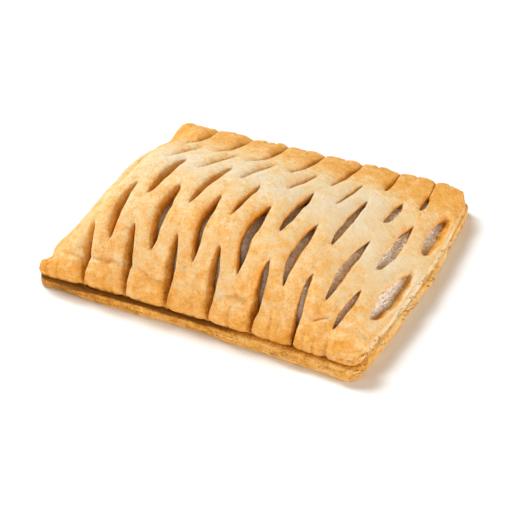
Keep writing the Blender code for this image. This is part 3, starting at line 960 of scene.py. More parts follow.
    def shape(self, column: np.ndarray, step: np.ndarray, side: np.ndarray,
              deep: np.ndarray) -> tuple[np.ndarray, dict[str, np.ndarray]]:
        """Places of all vertices of the sheet.

        Args:
            column: Places across in pitches.
            step: Lengths along the sheet in pitches.
            side: Which lip of a slit each is on.
            deep: 0 on the outer face, 1 on the inner face, between them on a wall.

        Returns:
            The points, and what the finish reads: distances and places.
        """
        sheet, lattice = self.sheet, self.sheet.lattice
        dome, plan = lattice.dome, lattice.dome.plan
        moved = lattice.moved_aside(column, step, side)
        y = lattice.along(column, step)
        x = lattice.across(column, y) + lattice.drift(column, step) + moved
        normal = dome.normal(x, y)
        outer = np.stack([x, y, dome.height(x, y)], axis=-1)
        thickness = sheet.thickness_at(x, y)
        rim = plan.rim_distance(x, y)
        fall = sheet.lip_fall(column + moved / lattice.pitch, step) * thickness / sheet.thickness
        rim_fall = round_off(rim, sheet.rim_radius, sheet.rim_drop)
        inner_fall = sheet.underside_share * fall - 0.0004 * (1.0 - smooth_step(rim / 0.003))
        relief = self.relief(column, step, outer)
        quiet = smooth_step(fall / 0.0006)
        top = fall + rim_fall - relief * (1.0 - 0.6 * quiet)
        inward = top + (thickness - inner_fall - top) * deep
        points = outer - normal * inward[:, None]
        across, deeper = sheet.lean(column, step, side, x)
        points[:, 0] += across * deep**1.3
        points -= normal * (deeper * deep)[:, None]
        points += self.knob(column, step, deep)
        on_wall = (deep > 1e-6) & (deep < 1.0 - 1e-6)
        at_rim = rim < 1e-5
        points += self.wall_bulge(column, step, side, deep, points, on_wall & at_rim, on_wall & ~at_rim)
        pull_x, pull_y = plan.corner_pull(points[:, 0], points[:, 1])
        points[:, 0] -= np.sign(x) * pull_x
        points[:, 1] -= np.sign(y) * (pull_y + sheet.notch(column, y))
        return points, {"fall": fall, "rim": rim, "x": x, "y": y, "side": side}

    def wall_bulge(self, column: np.ndarray, step: np.ndarray, side: np.ndarray, deep: np.ndarray,
                   points: np.ndarray, rim_wall: np.ndarray, slit_wall: np.ndarray) -> np.ndarray:
        """How the walls stand out: slits are smooth and round, and the rim shows its baked layers.

        Args:
            column: Places across in pitches.
            step: Lengths along the sheet in pitches.
            side: Which lip of a slit each is on.
            deep: Share of the way from the outer to the inner face.
            points: Places in metres.
            rim_wall: Which vertices are on the rim's wall.
            slit_wall: Which vertices are on a slit's wall.

        Returns:
            A move for every vertex.
        """
        plan = self.sheet.lattice.dome.plan
        arch = np.sin(np.pi * deep)
        move = np.zeros_like(points)
        slit_out = 0.00020 * arch + 0.00008 * self.fine.at(points, 0.0012, 2) * arch
        move[:, 0] = np.where(slit_wall, -side * slit_out, 0.0)
        layered = self.flake.at(points, (0.010, 0.010, 0.00075), 3)
        torn = np.maximum(self.flake.at(points + 0.4, (0.006, 0.006, 0.0005), 2), 0.0)
        right = smooth_step((points[:, 0] - 0.02) / 0.03)
        out = 0.00045 * arch + (0.00014 + 0.00034 * right) * layered * arch**0.5
        out += 0.00035 * right * torn * arch
        out -= 0.9 * self.creases(column, step)
        move += np.where(rim_wall, out, 0.0)[:, None] * plan.outward(points[:, 0], points[:, 1])
        return move

    def browning_and_shade(self, column: np.ndarray, step: np.ndarray, deep: np.ndarray, points: np.ndarray,
                 seen: dict[str, np.ndarray]) -> np.ndarray:
        """How far each place is baked, 0 pale dough to 1 dark brown, with painted shade in the slits and low
        on the rim wall.

        Args:
            column: Places across in pitches.
            step: Lengths along the sheet in pitches.
            deep: Share of the way from the outer to the inner face.
            points: Places in metres.
            seen: What shape() returned beside the points.

        Returns:
            One value for each vertex.
        """
        x, y, rim = seen["x"], seen["y"], seen["rim"]
        bake_and_shading = self.brown.at(column, step, step - self.crimp_at(column), points, x, y)
        rim_wall = rim < 1e-5
        right_wall = smooth_step((x - 0.035) / 0.02) * (1.0 - smooth_step((y - 0.036) / 0.012))
        bake_and_shading -= np.where(rim_wall, 0.22 * right_wall, 0.0)
        # The lips that turn into the slits, and the slit walls more the deeper they go, are darker: partly
        # browner cut edges, partly painted shade in the slits.
        turned = 0.26 * smooth_step((seen["fall"] - 0.0005) / 0.0012)
        turned *= 1.0 - 0.4 * smooth_step((x - 0.005) / 0.03)
        wall = (0.34 - 0.24 * smooth_step((column - 7.40) / 0.05)) * smooth_step(deep / 0.62)
        # The lowest part of the rim wall is darker: partly caramel, partly painted shade in the groove over
        # the base.
        bake_and_shading += np.where(rim_wall, 0.45 * smooth_step((deep - 0.72) / 0.25), turned + wall)
        flank = (np.abs(column - 7.5) < 1e-6) * (seen["side"] > 0.0) * smooth_step(deep / 0.12)
        bake_and_shading += flank * (0.30 + 0.30 * self.fine.at(points, (0.0012, 0.0022, 0.0012), 2))
        return np.clip(bake_and_shading, 0.0, 0.97)

    def build(self, material: bpy.types.Material) -> bpy.types.Object:
        """Makes the sheet.

        Args:
            material: Its finish.

        Returns:
            The finished piece.
        """
        bm, layers = self.grid()
        data = VertexData(bm)
        column, step, side, deep = (data.read(layers[name]) for name in ("column", "step", "side", "deep"))
        column, step = np.round(column, 5), np.round(step, 6)
        points, seen = self.shape(column, step, side, deep)
        bake_and_shading = self.browning_and_shade(column, step, deep, points, seen)
        rim = np.where(seen["rim"] < 1e-5, smooth_step(deep / 0.15), 0.0)
        patchy = np.clip(0.35 + 1.3 * self.broad.at(points + 0.6, 0.009, 2), 0.0, 1.0)
        torn = rim * (deep < 0.95) * patchy * smooth_step((seen["x"] - 0.045) / 0.006) * (seen["y"] < 0.040)
        data.place(points + np.array(self.sheet.lattice.dome.plan.centre))
        bmesh.ops.recalc_face_normals(bm, faces=bm.faces[:])
        return make_piece("lattice_crust", bm, material, {"bake_and_shading": bake_and_shading, "flaky": rim, "torn": torn})


@dataclass
class BaseSheet:
    """The base: a puffed slab with wandering layers round its side.

    Attributes:
        profile: Pairs of a level, 0 below to 1 above, and how far in from the outline the side lies there.
        cap_rings: How far in from the side's ends the rings of the two flat faces lie.
    """

    plan: Plan = field(default_factory=Plan)
    left_thickness: float = 0.0040
    right_thickness: float = 0.0047
    overhang_left: float = 0.0009
    overhang_right: float = 0.0006
    overhang_front: float = 0.0006
    overhang_corner: float = 0.0020
    corner: float = 0.0036
    corner_points: int = 14
    side_points: int = 130
    wave: float = 0.004
    levels: int = 30
    profile: tuple[tuple[float, float], ...] = (
        (0.0, 0.0012), (0.06, 0.0006), (0.14, 0.0001), (0.30, 0.0001), (0.42, 0.0004),
        (0.52, 0.0001), (0.72, 0.0002), (0.80, 0.0004), (0.90, 0.0003), (1.0, 0.0010),
    )
    cap_rings: tuple[float, ...] = (0.004, 0.012, 0.025)
    flake: Noise = Noise(31)
    broad: Noise = Noise(37)

    def thickness(self, x: np.ndarray, y: np.ndarray) -> np.ndarray:
        """Thickness, more towards the right front corner."""
        right = smooth_step((x + 0.06) / 0.12) * smooth_step((0.05 - y) / 0.10)
        return self.left_thickness + (self.right_thickness - self.left_thickness) * right

    def ring(self) -> np.ndarray:
        """The outline in shares of half its width and depth: a rectangle with round corners."""
        corners = ((1.0, -1.0, -90.0), (1.0, 1.0, 0.0), (-1.0, 1.0, 90.0), (-1.0, -1.0, 180.0))
        plan = self.plan
        radius = np.array([self.corner / (plan.right_x - plan.left_x), self.corner / plan.depth]) * 2.0
        arcs = []
        for share_x, share_y, turn in corners:
            angle = np.radians(np.linspace(turn, turn + 90.0, self.corner_points))
            middle = np.array([share_x, share_y]) * (1.0 - radius)
            arcs.append(middle + radius * np.stack([np.cos(angle), np.sin(angle)], axis=-1))
        places = []
        for n, arc in enumerate(arcs):
            start, finish = arc[-1], arcs[(n + 1) % 4][0]
            part = np.linspace(0.0, 1.0, self.side_points + 2)[1:-1, None]
            places += [arc, start + (finish - start) * part]
        return np.concatenate(places)

    def outline(self) -> np.ndarray:
        """The outline in metres: the top sheet's plan, a little larger and wavy."""
        share = self.ring()
        plan = self.plan
        front = self.overhang_front + self.overhang_corner * smooth_step(share[:, 0])
        half = 0.5 * plan.depth + np.where(share[:, 1] < 0.0, front, 0.0)
        y = plan.front_y + 0.5 * plan.depth + share[:, 1] * half
        left = plan.left(y) - self.overhang_left
        right = plan.right(y) + self.overhang_right
        x = 0.5 * (left + right) + share[:, 0] * 0.5 * (right - left)
        angle = np.arctan2(share[:, 1], share[:, 0])
        wave = 1.0 + self.wave * np.sin(9.0 * angle + 1.0) + 0.6 * self.wave * np.sin(23.0 * angle)
        return np.stack([x, y], axis=-1) * wave[:, None]

    def rings(self) -> tuple[np.ndarray, np.ndarray]:
        """All rings from the middle of the underside, up the side, to the middle of the upper face.

        Returns:
            The points as rings by vertices by three, and the level of each, 0 below to 1 above.
        """
        outline = self.outline()
        length = np.linalg.norm(outline, axis=1, keepdims=True)
        inward = -outline / length
        levels = np.linspace(0.0, 1.0, self.levels)
        depths = np.interp(levels, [level for level, _ in self.profile], [inset for _, inset in self.profile])
        rings, marks = [], []
        for extra in reversed(self.cap_rings):
            rings.append(np.column_stack([outline + inward * (depths[0] + extra), np.zeros(len(outline))]))
            marks.append(np.zeros(len(outline)))
        for level, depth in zip(levels, depths):
            flat = np.column_stack([outline, np.full(len(outline), 0.004 * level)])
            warp = level + 0.10 * self.broad.at(flat, (0.016, 0.016, 0.004), 2) * math.sin(math.pi * level)
            inset = np.interp(warp, [mark for mark, _ in self.profile], [size for _, size in self.profile])
            place = outline + inward * inset[:, None]
            z = level * self.thickness(place[:, 0], place[:, 1])
            solid = np.column_stack([place, z])
            out = 0.00022 * self.flake.at(solid, (0.009, 0.009, 0.0006), 3)
            out += 0.00020 * np.maximum(self.flake.at(solid + 0.2, (0.004, 0.004, 0.0004), 2), 0.0)
            out += 0.00006 * self.flake.at(solid + 0.5, 0.0011, 2)
            out += 0.00022 * self.flake.at(solid + 0.7, 0.0021, 2) * smooth_step(solid[:, 0] / 0.03)
            out *= math.sin(math.pi * min(max(level, 0.03), 0.97)) ** 0.4
            ragged = np.maximum(self.broad.at(flat + 0.9, (0.011, 0.011, 1.0), 3) + 0.25, 0.0)
            bite = 0.0004 + 0.0010 * smooth_step((solid[:, 0] + 0.03) / 0.04)
            out -= bite * ragged * max(1.0 - level / 0.38, 0.0) ** 1.5
            solid[:, :2] -= inward * out[:, None]
            rings.append(solid)
            marks.append(np.full(len(outline), level))
        for extra in self.cap_rings:
            place = outline + inward * (depths[-1] + extra)
            rings.append(np.column_stack([place, self.thickness(place[:, 0], place[:, 1])]))
            marks.append(np.ones(len(outline)))
        return np.array(rings), np.array(marks)

    def build(self, material: bpy.types.Material) -> bpy.types.Object:
        """Makes the base.

        Args:
            material: Its finish.

        Returns:
            The finished piece.
        """
        rings, marks = self.rings()
        rings = rings + np.array(self.plan.centre)
        bm = bmesh.new()
        bmesh.ops.create_grid(bm, x_segments=rings.shape[1], y_segments=rings.shape[0] - 1, size=0.5)
        row_layer = bm.verts.layers.int.new("row")
        for vert in bm.verts:
            column = round((vert.co.x + 0.5) * rings.shape[1])
            row = round((vert.co.y + 0.5) * (rings.shape[0] - 1))
            vert[row_layer] = row
            vert.co = rings[row, column % rings.shape[1]]
        bmesh.ops.remove_doubles(bm, verts=bm.verts[:], dist=1e-7)
        bmesh.ops.holes_fill(bm, edges=[edge for edge in bm.edges if edge.is_boundary])
        bmesh.ops.recalc_face_normals(bm, faces=bm.faces[:])
        points = np.array([vert.co[:] for vert in bm.verts])
        level = marks[[vert[row_layer] for vert in bm.verts], 0]
        return make_piece("base_crust", bm, material, self.marks(points, level))

    def marks(self, points: np.ndarray, level: np.ndarray) -> dict[str, np.ndarray]:
        """What the finish and the flakes read: how far the base is baked, with painted shade at its left and
        in the groove under the top sheet, and where it is flaky and torn.

        Args:
            points: Places in metres.
            level: The level of each, 0 below to 1 above.

        Returns:
            One value for each place, by name.
        """
        x, y = points[:, 0], points[:, 1]
        blotches = self.broad.at(points, 0.012, 2)
        bake_and_shading = 0.44 + 0.14 * blotches + 0.16 * self.flake.at(points, (0.006, 0.006, 0.0006), 2)
        # Painted shade: the left of the base is darker.
        bake_and_shading += 0.32 * smooth_step((-0.006 - x) / 0.035)
        inside = self.plan.rim_distance(x, y)
        # The upper face under the top sheet's rim is darker: partly caramel, partly painted shade in the
        # groove between the sheets.
        bake_and_shading += 0.60 * smooth_step((inside - 0.0002) / 0.0010) * smooth_step((level - 0.7) / 0.2)
        bake_and_shading += 0.10 * (1.0 - smooth_step(level / 0.25))
        bake_and_shading -= 0.20 * smooth_step((x - 0.050) / 0.006) * smooth_step((y + 0.048) / 0.012)
        flaky = np.where((level > 0.02) & (level < 0.98), 1.0, 0.0)
        corner = np.maximum(smooth_step((x - 0.050) / 0.005), smooth_step((x + 0.01) / 0.05))
        patchy = np.clip(0.25 + 1.3 * self.broad.at(points + 0.6, 0.009, 2), 0.0, 1.0)
        torn = flaky * corner * patchy * smooth_step((level - 0.25) / 0.2) * (y < 0.040)
        return {"bake_and_shading": np.clip(bake_and_shading, 0.0, 1.2), "flaky": flaky, "torn": torn}


@dataclass
class Filling:
    """The meat under the lattice: a lumpy body that shows in the slits.

    Attributes:
        raised: How much higher it lies in the cuts on the right.
        sunk: How much deeper it lies in those on the left.
    """

    sheet: Sheet = field(default_factory=Sheet)
    base: BaseSheet = field(default_factory=BaseSheet)
    columns: int = 190
    rows: int = 150
    first_column: float = 0.16
    last_column: float = 7.62
    first_row: float = 0.46
    last_row: float = 7.1
    gap: float = 0.0003
    edge: float = 0.0012
    lump: float = 0.00032
    raised: float = 0.0004
    sunk: float = 0.0018
    lumps: Noise = Noise(41)

    def place(self, column: np.ndarray, step: np.ndarray) -> tuple[np.ndarray, np.ndarray, np.ndarray]:
        """Places on the filling's upper face.

        Args:
            column: Places across in pitches.
            step: Lengths along the sheet in pitches.

        Returns:
            The points, the height of the floor under each, and how near each is to a slit.
        """
        lattice, dome = self.sheet.lattice, self.sheet.lattice.dome
        y = lattice.along(column, step)
        x = lattice.across(column, y) + lattice.drift(column, step)
        smooth = np.stack([x, y, dome.height(x, y)], axis=-1)
        near = 1.0 - smooth_step((self.sheet.slit_distance(column, step) - 0.0002) / 0.0022)
        lump = self.lump * self.lumps.at(smooth, 0.0021, 3) + 0.00016 * self.lumps.at(smooth + 0.3, 0.0008, 2)
        right = smooth_step((x - 0.008) / 0.026)
        lump = lump * (0.3 + 0.7 * near) + near * (self.raised * right - self.sunk * (1.0 - right))
        under = self.sheet.thickness_at(x, y) + self.gap + self.lump - lump
        points = smooth - dome.normal(x, y) * under[:, None]
        floor = self.base.thickness(points[:, 0], points[:, 1]) + self.gap
        points[:, 2] = np.maximum(points[:, 2], floor + self.edge)
        return points, floor, near

    def body(self, material: bpy.types.Material) -> bpy.types.Object:
        """Makes the body of the filling.

        Args:
            material: Its finish.

        Returns:
            The finished piece.
        """
        columns = np.linspace(self.first_column, self.last_column, self.columns)
        steps = np.linspace(self.first_row, self.last_row, self.rows)
        bm = bmesh.new()
        floor_layer = bm.verts.layers.float.new("floor")
        near_layer = bm.verts.layers.float.new("near")
        bmesh.ops.create_grid(bm, x_segments=self.columns - 1, y_segments=self.rows - 1, size=0.5)
        verts = bm.verts[:]
        column = np.array([columns[round((vert.co.x + 0.5) * (self.columns - 1))] for vert in verts])
        step = np.array([steps[round((vert.co.y + 0.5) * (self.rows - 1))] for vert in verts])
        points, floor, near = self.place(column, step)
        centre = np.array(self.sheet.lattice.dome.plan.centre)
        for vert, point, below, seen in zip(verts, points + centre, floor, near):
            vert.co = point
            vert[floor_layer] = below
            vert[near_layer] = seen
        grown = bmesh.ops.extrude_face_region(bm, geom=bm.faces[:])
        for item in grown["geom"]:
            if isinstance(item, bmesh.types.BMVert):
                item.co.z = item[floor_layer]
                item[near_layer] = 0.0
        bmesh.ops.recalc_face_normals(bm, faces=bm.faces[:])
        near = np.array([vert[near_layer] for vert in bm.verts])
        return make_piece("meat_filling", bm, material, {"near": near})


@dataclass(frozen=True)
class NodeKit:
    """Short ways to make and join shader nodes in one tree."""

    tree: bpy.types.NodeTree

    def add(self, kind: str, **settings: object) -> bpy.types.Node:
        """A node with its settings.

        Args:
            kind: The node's type name.
            **settings: Properties by name.

        Returns:
            The node.
        """
        node = self.tree.nodes.new(kind)
        for name, value in settings.items():
            setattr(node, name, value)
        return node

    def feed(self, node: bpy.types.Node, **values: object) -> bpy.types.Node:
        """Sets or links a node's inputs, whose names have _ for a space.

        Args:
            node: The node.
            **values: A number or colour to set, or an output socket to link.

        Returns:
            The same node.
        """
        for name, value in values.items():
            socket = node.inputs[name.replace("_", " ")]
            if isinstance(value, bpy.types.NodeSocket):
                self.tree.links.new(value, socket)
            else:
                socket.default_value = value
        return node

    def math(self, operation: str, one: object, two: object = 0.0,
             clamp: bool = False) -> bpy.types.NodeSocket:
        """A Math node's result.

        Args:
            operation: The operation's name.
            one: A number or a socket.
            two: A number or a socket.
            clamp: Whether the result is held between 0 and 1.

        Returns:
            The result's socket.
        """
        node = self.add("ShaderNodeMath", operation=operation, use_clamp=clamp)
        for socket, value in zip(node.inputs, (one, two)):
            if isinstance(value, bpy.types.NodeSocket):
                self.tree.links.new(value, socket)
            else:
                socket.default_value = value
        return node.outputs[0]

    def noise(self, vector: bpy.types.NodeSocket, size: float, detail: float = 2.0,
              roughness: float = 0.5) -> bpy.types.NodeSocket:
        """A Noise texture's value.

        Args:
            vector: Where it is read.
            size: Width of its lumps in metres.
            detail: Number of finer layers.
            roughness: Their share.

        Returns:
            The value's socket, about 0.5 in the mean.
        """
        node = self.add("ShaderNodeTexNoise")
        self.feed(node, Vector=vector, Scale=1.0 / size, Detail=detail, Roughness=roughness)
        return node.outputs["Fac"]

    def mix(self, factor: object, one: object, two: object) -> bpy.types.NodeSocket:
        """A blend of two colours.

        Args:
            factor: The second colour's share, a number or a socket.
            one: A colour or a socket.
            two: A colour or a socket.

        Returns:
            The blend's socket.
        """
        node = self.add("ShaderNodeMix", data_type="RGBA")
        for socket, value in zip((node.inputs[0], node.inputs[6], node.inputs[7]), (factor, one, two)):
            if isinstance(value, bpy.types.NodeSocket):
                self.tree.links.new(value, socket)
            else:
                socket.default_value = value
        return node.outputs[2]


@dataclass(frozen=True)
class Scatter:
    """Small shapes strewn over a piece by Geometry Nodes.

    Attributes:
        name: The name of the strewn piece.
        shape: What is strewn.
        mark: The point attribute that says where, from 0 to 1.
        density: How many on a square metre where the mark is 1.
        smallest: Half the width of the smallest, in metres.
        largest: Half the width of the largest.
        stretch: Their length, width and height in shares.
        tilt: The most that one is turned out of the level.
        seed: Which scatter.
    """

    name: str
    shape: Shape
    mark: str
    density: float
    smallest: float
    largest: float
    stretch: tuple[float, float, float]
    tilt: float
    seed: int

    def one(self, kit: NodeKit) -> bpy.types.NodeSocket:
        """The shape that is strewn: a round grain or a thin curled scale.


        Returns:
            The shape's geometry.
        """
        if self.shape is Shape.GRAIN:
            return kit.feed(kit.add("GeometryNodeMeshIcoSphere"), Subdivisions=1, Radius=1.0).outputs["Mesh"]
        block = kit.add("GeometryNodeMeshCube")
        kit.feed(block, Size=(2.0, 1.5, 1.0), Vertices_X=5, Vertices_Y=3, Vertices_Z=2)
        position = kit.add("GeometryNodeInputPosition")
        where = kit.feed(kit.add("ShaderNodeSeparateXYZ"), Vector=position.outputs[0])
        curl = kit.math("MULTIPLY", kit.math("MULTIPLY", where.outputs[0], where.outputs[0]), 2.6)
        lift = kit.feed(kit.add("ShaderNodeCombineXYZ"), Z=curl)
        bent = kit.add("GeometryNodeSetPosition")
        return kit.feed(bent, Geometry=block.outputs["Mesh"], Offset=lift.outputs[0]).outputs["Geometry"]

    def tree(self, material: bpy.types.Material) -> bpy.types.NodeTree:
        """Builds the tree.

        Args:
            material: The finish of what is strewn.

        Returns:
            The tree: Density, Smallest, Largest and Seed in, the strewn shapes out.
        """
        tree = bpy.data.node_groups.new(self.name, "GeometryNodeTree")
        tree.interface.new_socket("Geometry", in_out="INPUT", socket_type="NodeSocketGeometry")
        for name, kind, value in (("Density", "NodeSocketFloat", self.density),
                                  ("Smallest", "NodeSocketFloat", self.smallest),
                                  ("Largest", "NodeSocketFloat", self.largest),
                                  ("Seed", "NodeSocketInt", self.seed)):
            tree.interface.new_socket(name, in_out="INPUT", socket_type=kind).default_value = value
        tree.interface.new_socket("Geometry", in_out="OUTPUT", socket_type="NodeSocketGeometry")
        kit = NodeKit(tree)
        given, out = kit.add("NodeGroupInput"), kit.add("NodeGroupOutput")
        mark = kit.feed(kit.add("GeometryNodeInputNamedAttribute", data_type="FLOAT"), Name=self.mark)
        often = kit.math("MULTIPLY", mark.outputs["Attribute"], given.outputs["Density"])
        strewn = kit.add("GeometryNodeDistributePointsOnFaces")
        kit.feed(strewn, Mesh=given.outputs["Geometry"], Density=often, Seed=given.outputs["Seed"])
        size = kit.add("FunctionNodeRandomValue")
        low, high = [socket for socket in size.inputs if socket.type == "VALUE" and socket.enabled][:2]
        tree.links.new(given.outputs["Smallest"], low)
        tree.links.new(given.outputs["Largest"], high)
        width = next(socket for socket in size.outputs if socket.type == "VALUE" and socket.enabled)
        turn = kit.add("FunctionNodeRandomValue", data_type="FLOAT_VECTOR")
        kit.feed(turn, Min=(-self.tilt, -self.tilt, -math.pi), Max=(self.tilt, self.tilt, math.pi))
        turned = next(socket for socket in turn.outputs if socket.type == "VECTOR" and socket.enabled)
        scale = kit.add("ShaderNodeCombineXYZ")
        for axis, share in zip("XYZ", self.stretch):
            kit.feed(scale, **{axis: kit.math("MULTIPLY", width, share)})
        put = kit.add("GeometryNodeInstanceOnPoints")
        kit.feed(put, Points=strewn.outputs["Points"], Instance=self.one(kit))
        kit.feed(put, Rotation=turned, Scale=scale.outputs[0])
        real = kit.feed(kit.add("GeometryNodeRealizeInstances"), Geometry=put.outputs["Instances"])
        dress = kit.add("GeometryNodeSetMaterial")
        kit.feed(dress, Geometry=real.outputs["Geometry"], Material=material)
        kit.feed(out, Geometry=dress.outputs["Geometry"])
        return tree

    def over(self, body: bpy.types.Object, material: bpy.types.Material) -> bpy.types.Object:
        """Strews the shapes over a piece.

        Args:
            body: The piece, which has the mark.
            material: The finish of what is strewn.

        Returns:
            The strewn shapes as one plain mesh.
        """
        modifier = body.modifiers.new(self.name, "NODES")
        modifier.node_group = self.tree(material)
        for item in modifier.node_group.interface.items_tree:
            if item.in_out == "INPUT" and item.name != "Geometry":
                modifier[item.identifier] = item.default_value
        graph = bpy.context.evaluated_depsgraph_get()
        mesh = bpy.data.meshes.new_from_object(body.evaluated_get(graph))
        body.modifiers.remove(modifier)
        mesh.name = self.name
        mesh.shade_smooth()
        made = bpy.data.objects.new(self.name, mesh)
        bpy.context.scene.collection.objects.link(made)
        return made


class Groups:
    """The shader groups that more than one finish uses, each built once."""

    def __init__(self) -> None:
        """Builds both groups."""
        self.freckles = self.build_freckles()
        self.crumb = self.build_crumb()

    @staticmethod
    def start(name: str, inputs: dict[str, float],
              outputs: tuple[str, ...]) -> tuple[NodeKit, bpy.types.Node, bpy.types.Node]:
        """An empty group with a vector input, numbers in and numbers out.

        Args:
            name: The group's name.
            inputs: Number inputs and their defaults.
            outputs: Number outputs.
        """
        tree = bpy.data.node_groups.new(name, "ShaderNodeTree")
        tree.interface.new_socket("Vector", in_out="INPUT", socket_type="NodeSocketVector")
        for key, value in inputs.items():
            socket = tree.interface.new_socket(key, in_out="INPUT", socket_type="NodeSocketFloat")
            socket.default_value = value
        for key in outputs:
            tree.interface.new_socket(key, in_out="OUTPUT", socket_type="NodeSocketFloat")
        kit = NodeKit(tree)
        return kit, kit.add("NodeGroupInput"), kit.add("NodeGroupOutput")

    def build_freckles(self) -> bpy.types.NodeTree:
        """Small dots of uneven size, few or many.

        Returns:
            The group: Size and Amount in, Mask out.
        """
        kit, given, out = self.start("freckles", {"Size": 0.0006, "Amount": 0.3}, ("Mask",))
        scale = kit.math("DIVIDE", 0.45, given.outputs["Size"])
        cells = kit.add("ShaderNodeTexVoronoi", feature="F1")
        kit.feed(cells, Vector=given.outputs["Vector"], Scale=scale, Randomness=1.0)
        split = kit.add("ShaderNodeSeparateColor")
        kit.feed(split, Color=cells.outputs["Color"])
        chosen = kit.math("LESS_THAN", split.outputs[0], given.outputs["Amount"])
        radius = kit.math("MULTIPLY", split.outputs[1], 0.30)
        radius = kit.math("ADD", radius, 0.10)
        edge = kit.math("DIVIDE", cells.outputs["Distance"], radius)
        dot = kit.math("SUBTRACT", 1.3, edge, clamp=True)
        kit.tree.links.new(kit.math("MULTIPLY", dot, chosen), out.inputs["Mask"])
        return kit.tree

    def build_crumb(self) -> bpy.types.NodeTree:
        """Height of a dry or moist food surface: pores, grain and low blisters.

        Returns:
            The group: Grain and Blister sizes in, Height out.
        """
        kit, given, out = self.start("crumb", {"Grain": 0.0004, "Blister": 0.002}, ("Height",))
        heights = []
        for key, detail, weight in (("Grain", 3.0, 0.45), ("Blister", 2.0, 1.0)):
            scale = kit.math("DIVIDE", 1.0, given.outputs[key])
            noise = kit.add("ShaderNodeTexNoise")
            kit.feed(noise, Vector=given.outputs["Vector"], Scale=scale, Detail=detail, Roughness=0.6)
            heights.append(kit.math("MULTIPLY", noise.outputs["Fac"], weight))
        kit.tree.links.new(kit.math("ADD", *heights), out.inputs["Height"])
        return kit.tree


@dataclass(frozen=True)
class CrustFinish:
    """Baked puff pastry, whose colour follows how far each place is baked and the shade painted into that.

    Attributes:
        slot: The record's slot.
        shades: Pairs of baking, painted shade included, and colour, from pale dough to dark brown.
        roughness: The mean roughness.
        freckle_share: How many cells hold a brown dot.
        freckle: The dots' colour.
        layer_share: How strongly the baked layers show on the rim.
        blotch: Width in metres and strength of the blotches.
        grain: The same for the fine grain.
        bump: Height of the finest relief, in metres.
        glow: How much light goes through the dough.
    """

    slot: Slot
    shades: tuple[tuple[float, tuple[float, float, float]], ...]
    roughness: float = 0.52
    freckle_share: float = 0.05
    freckle: tuple[float, float, float] = (0.66, 0.31, 0.08)
    layer_share: float = 0.3
    blotch: tuple[float, float] = (0.0030, 1.30)
    grain: tuple[float, float] = (0.0007, 1.30)
    bump: float = 0.0013
    glow: float = 0.06

    def material(self, groups: Groups) -> bpy.types.Material:
        """Builds the material.

        Args:
            groups: The shared shader groups.

        Returns:
            The material.
        """
        made = bpy.data.materials.new(self.slot.value)
        made.use_nodes = True
        kit = NodeKit(made.node_tree)
        shader = made.node_tree.nodes["Principled BSDF"]
        where = kit.add("ShaderNodeTexCoord").outputs["Object"]
        bake_and_shading = kit.add("ShaderNodeAttribute", attribute_name="bake_and_shading").outputs["Fac"]
        flaky = kit.add("ShaderNodeAttribute", attribute_name="flaky").outputs["Fac"]

        lumps = []
        for (width, strength), roughness in ((self.blotch, 0.62), (self.grain, 0.72)):
            lump = kit.math("SUBTRACT", kit.noise(where, width, 4.0, roughness), 0.5)
            lumps.append(kit.math("MULTIPLY", lump, strength))
        uneven = kit.math("ADD", *lumps)
        depth = kit.math("ADD", kit.math("MULTIPLY", bake_and_shading, 1.1), 0.45)
        depth = kit.math("MINIMUM", depth, kit.math("SUBTRACT", 2.2, kit.math("MULTIPLY", bake_and_shading, 2.0)))
        level = kit.math("ADD", bake_and_shading, kit.math("MULTIPLY", uneven, depth))
        squash = kit.add("ShaderNodeMapping")
        kit.feed(squash, Vector=where, Scale=(0.10, 0.10, 1.0))
        layers = kit.math("SUBTRACT", kit.noise(squash.outputs[0], 0.00055, 3.0, 0.6), 0.5)
        layers = kit.math("MULTIPLY", kit.math("MULTIPLY", layers, flaky), 2.0 * self.layer_share)
        level = kit.math("ADD", level, layers, clamp=True)
        level = kit.math("MINIMUM", level, kit.math("MAXIMUM", kit.math("ADD", bake_and_shading, 0.10), 0.76))
        ramp = kit.add("ShaderNodeValToRGB")
        kit.feed(ramp, Fac=level)
        stops = ramp.color_ramp.elements
        while len(stops) < len(self.shades):
            stops.new(0.5)
        for stop, (place, shade) in zip(stops, self.shades):
            stop.position = place
            stop.color = (*shade, 1.0)

        dots = kit.add("ShaderNodeGroup", node_tree=groups.freckles)
        kit.feed(dots, Vector=where, Size=0.0006, Amount=self.freckle_share)
        dotted = kit.math("MULTIPLY", dots.outputs["Mask"], 0.40)
        colour = kit.mix(dotted, ramp.outputs["Color"], (*self.freckle, 1.0))
        shine = kit.math("MULTIPLY_ADD", kit.noise(where, 0.0022, 2.0), 0.24)
        shine.node.inputs[2].default_value = self.roughness - 0.12
        crumb = kit.add("ShaderNodeGroup", node_tree=groups.crumb)
        kit.feed(crumb, Vector=where, Grain=0.00042, Blister=0.0019)
        bump = kit.add("ShaderNodeBump")
        kit.feed(bump, Height=crumb.outputs["Height"], Strength=0.9, Distance=self.bump)
        kit.feed(shader, Base_Color=colour, Roughness=shine, Normal=bump.outputs["Normal"])
        shader.inputs["Subsurface Weight"].default_value = self.glow
        shader.inputs["Subsurface Radius"].default_value = (1.0, 0.60, 0.30)
        shader.inputs["Subsurface Scale"].default_value = 0.0016
        shader.inputs["Specular IOR Level"].default_value = 0.22
        return made


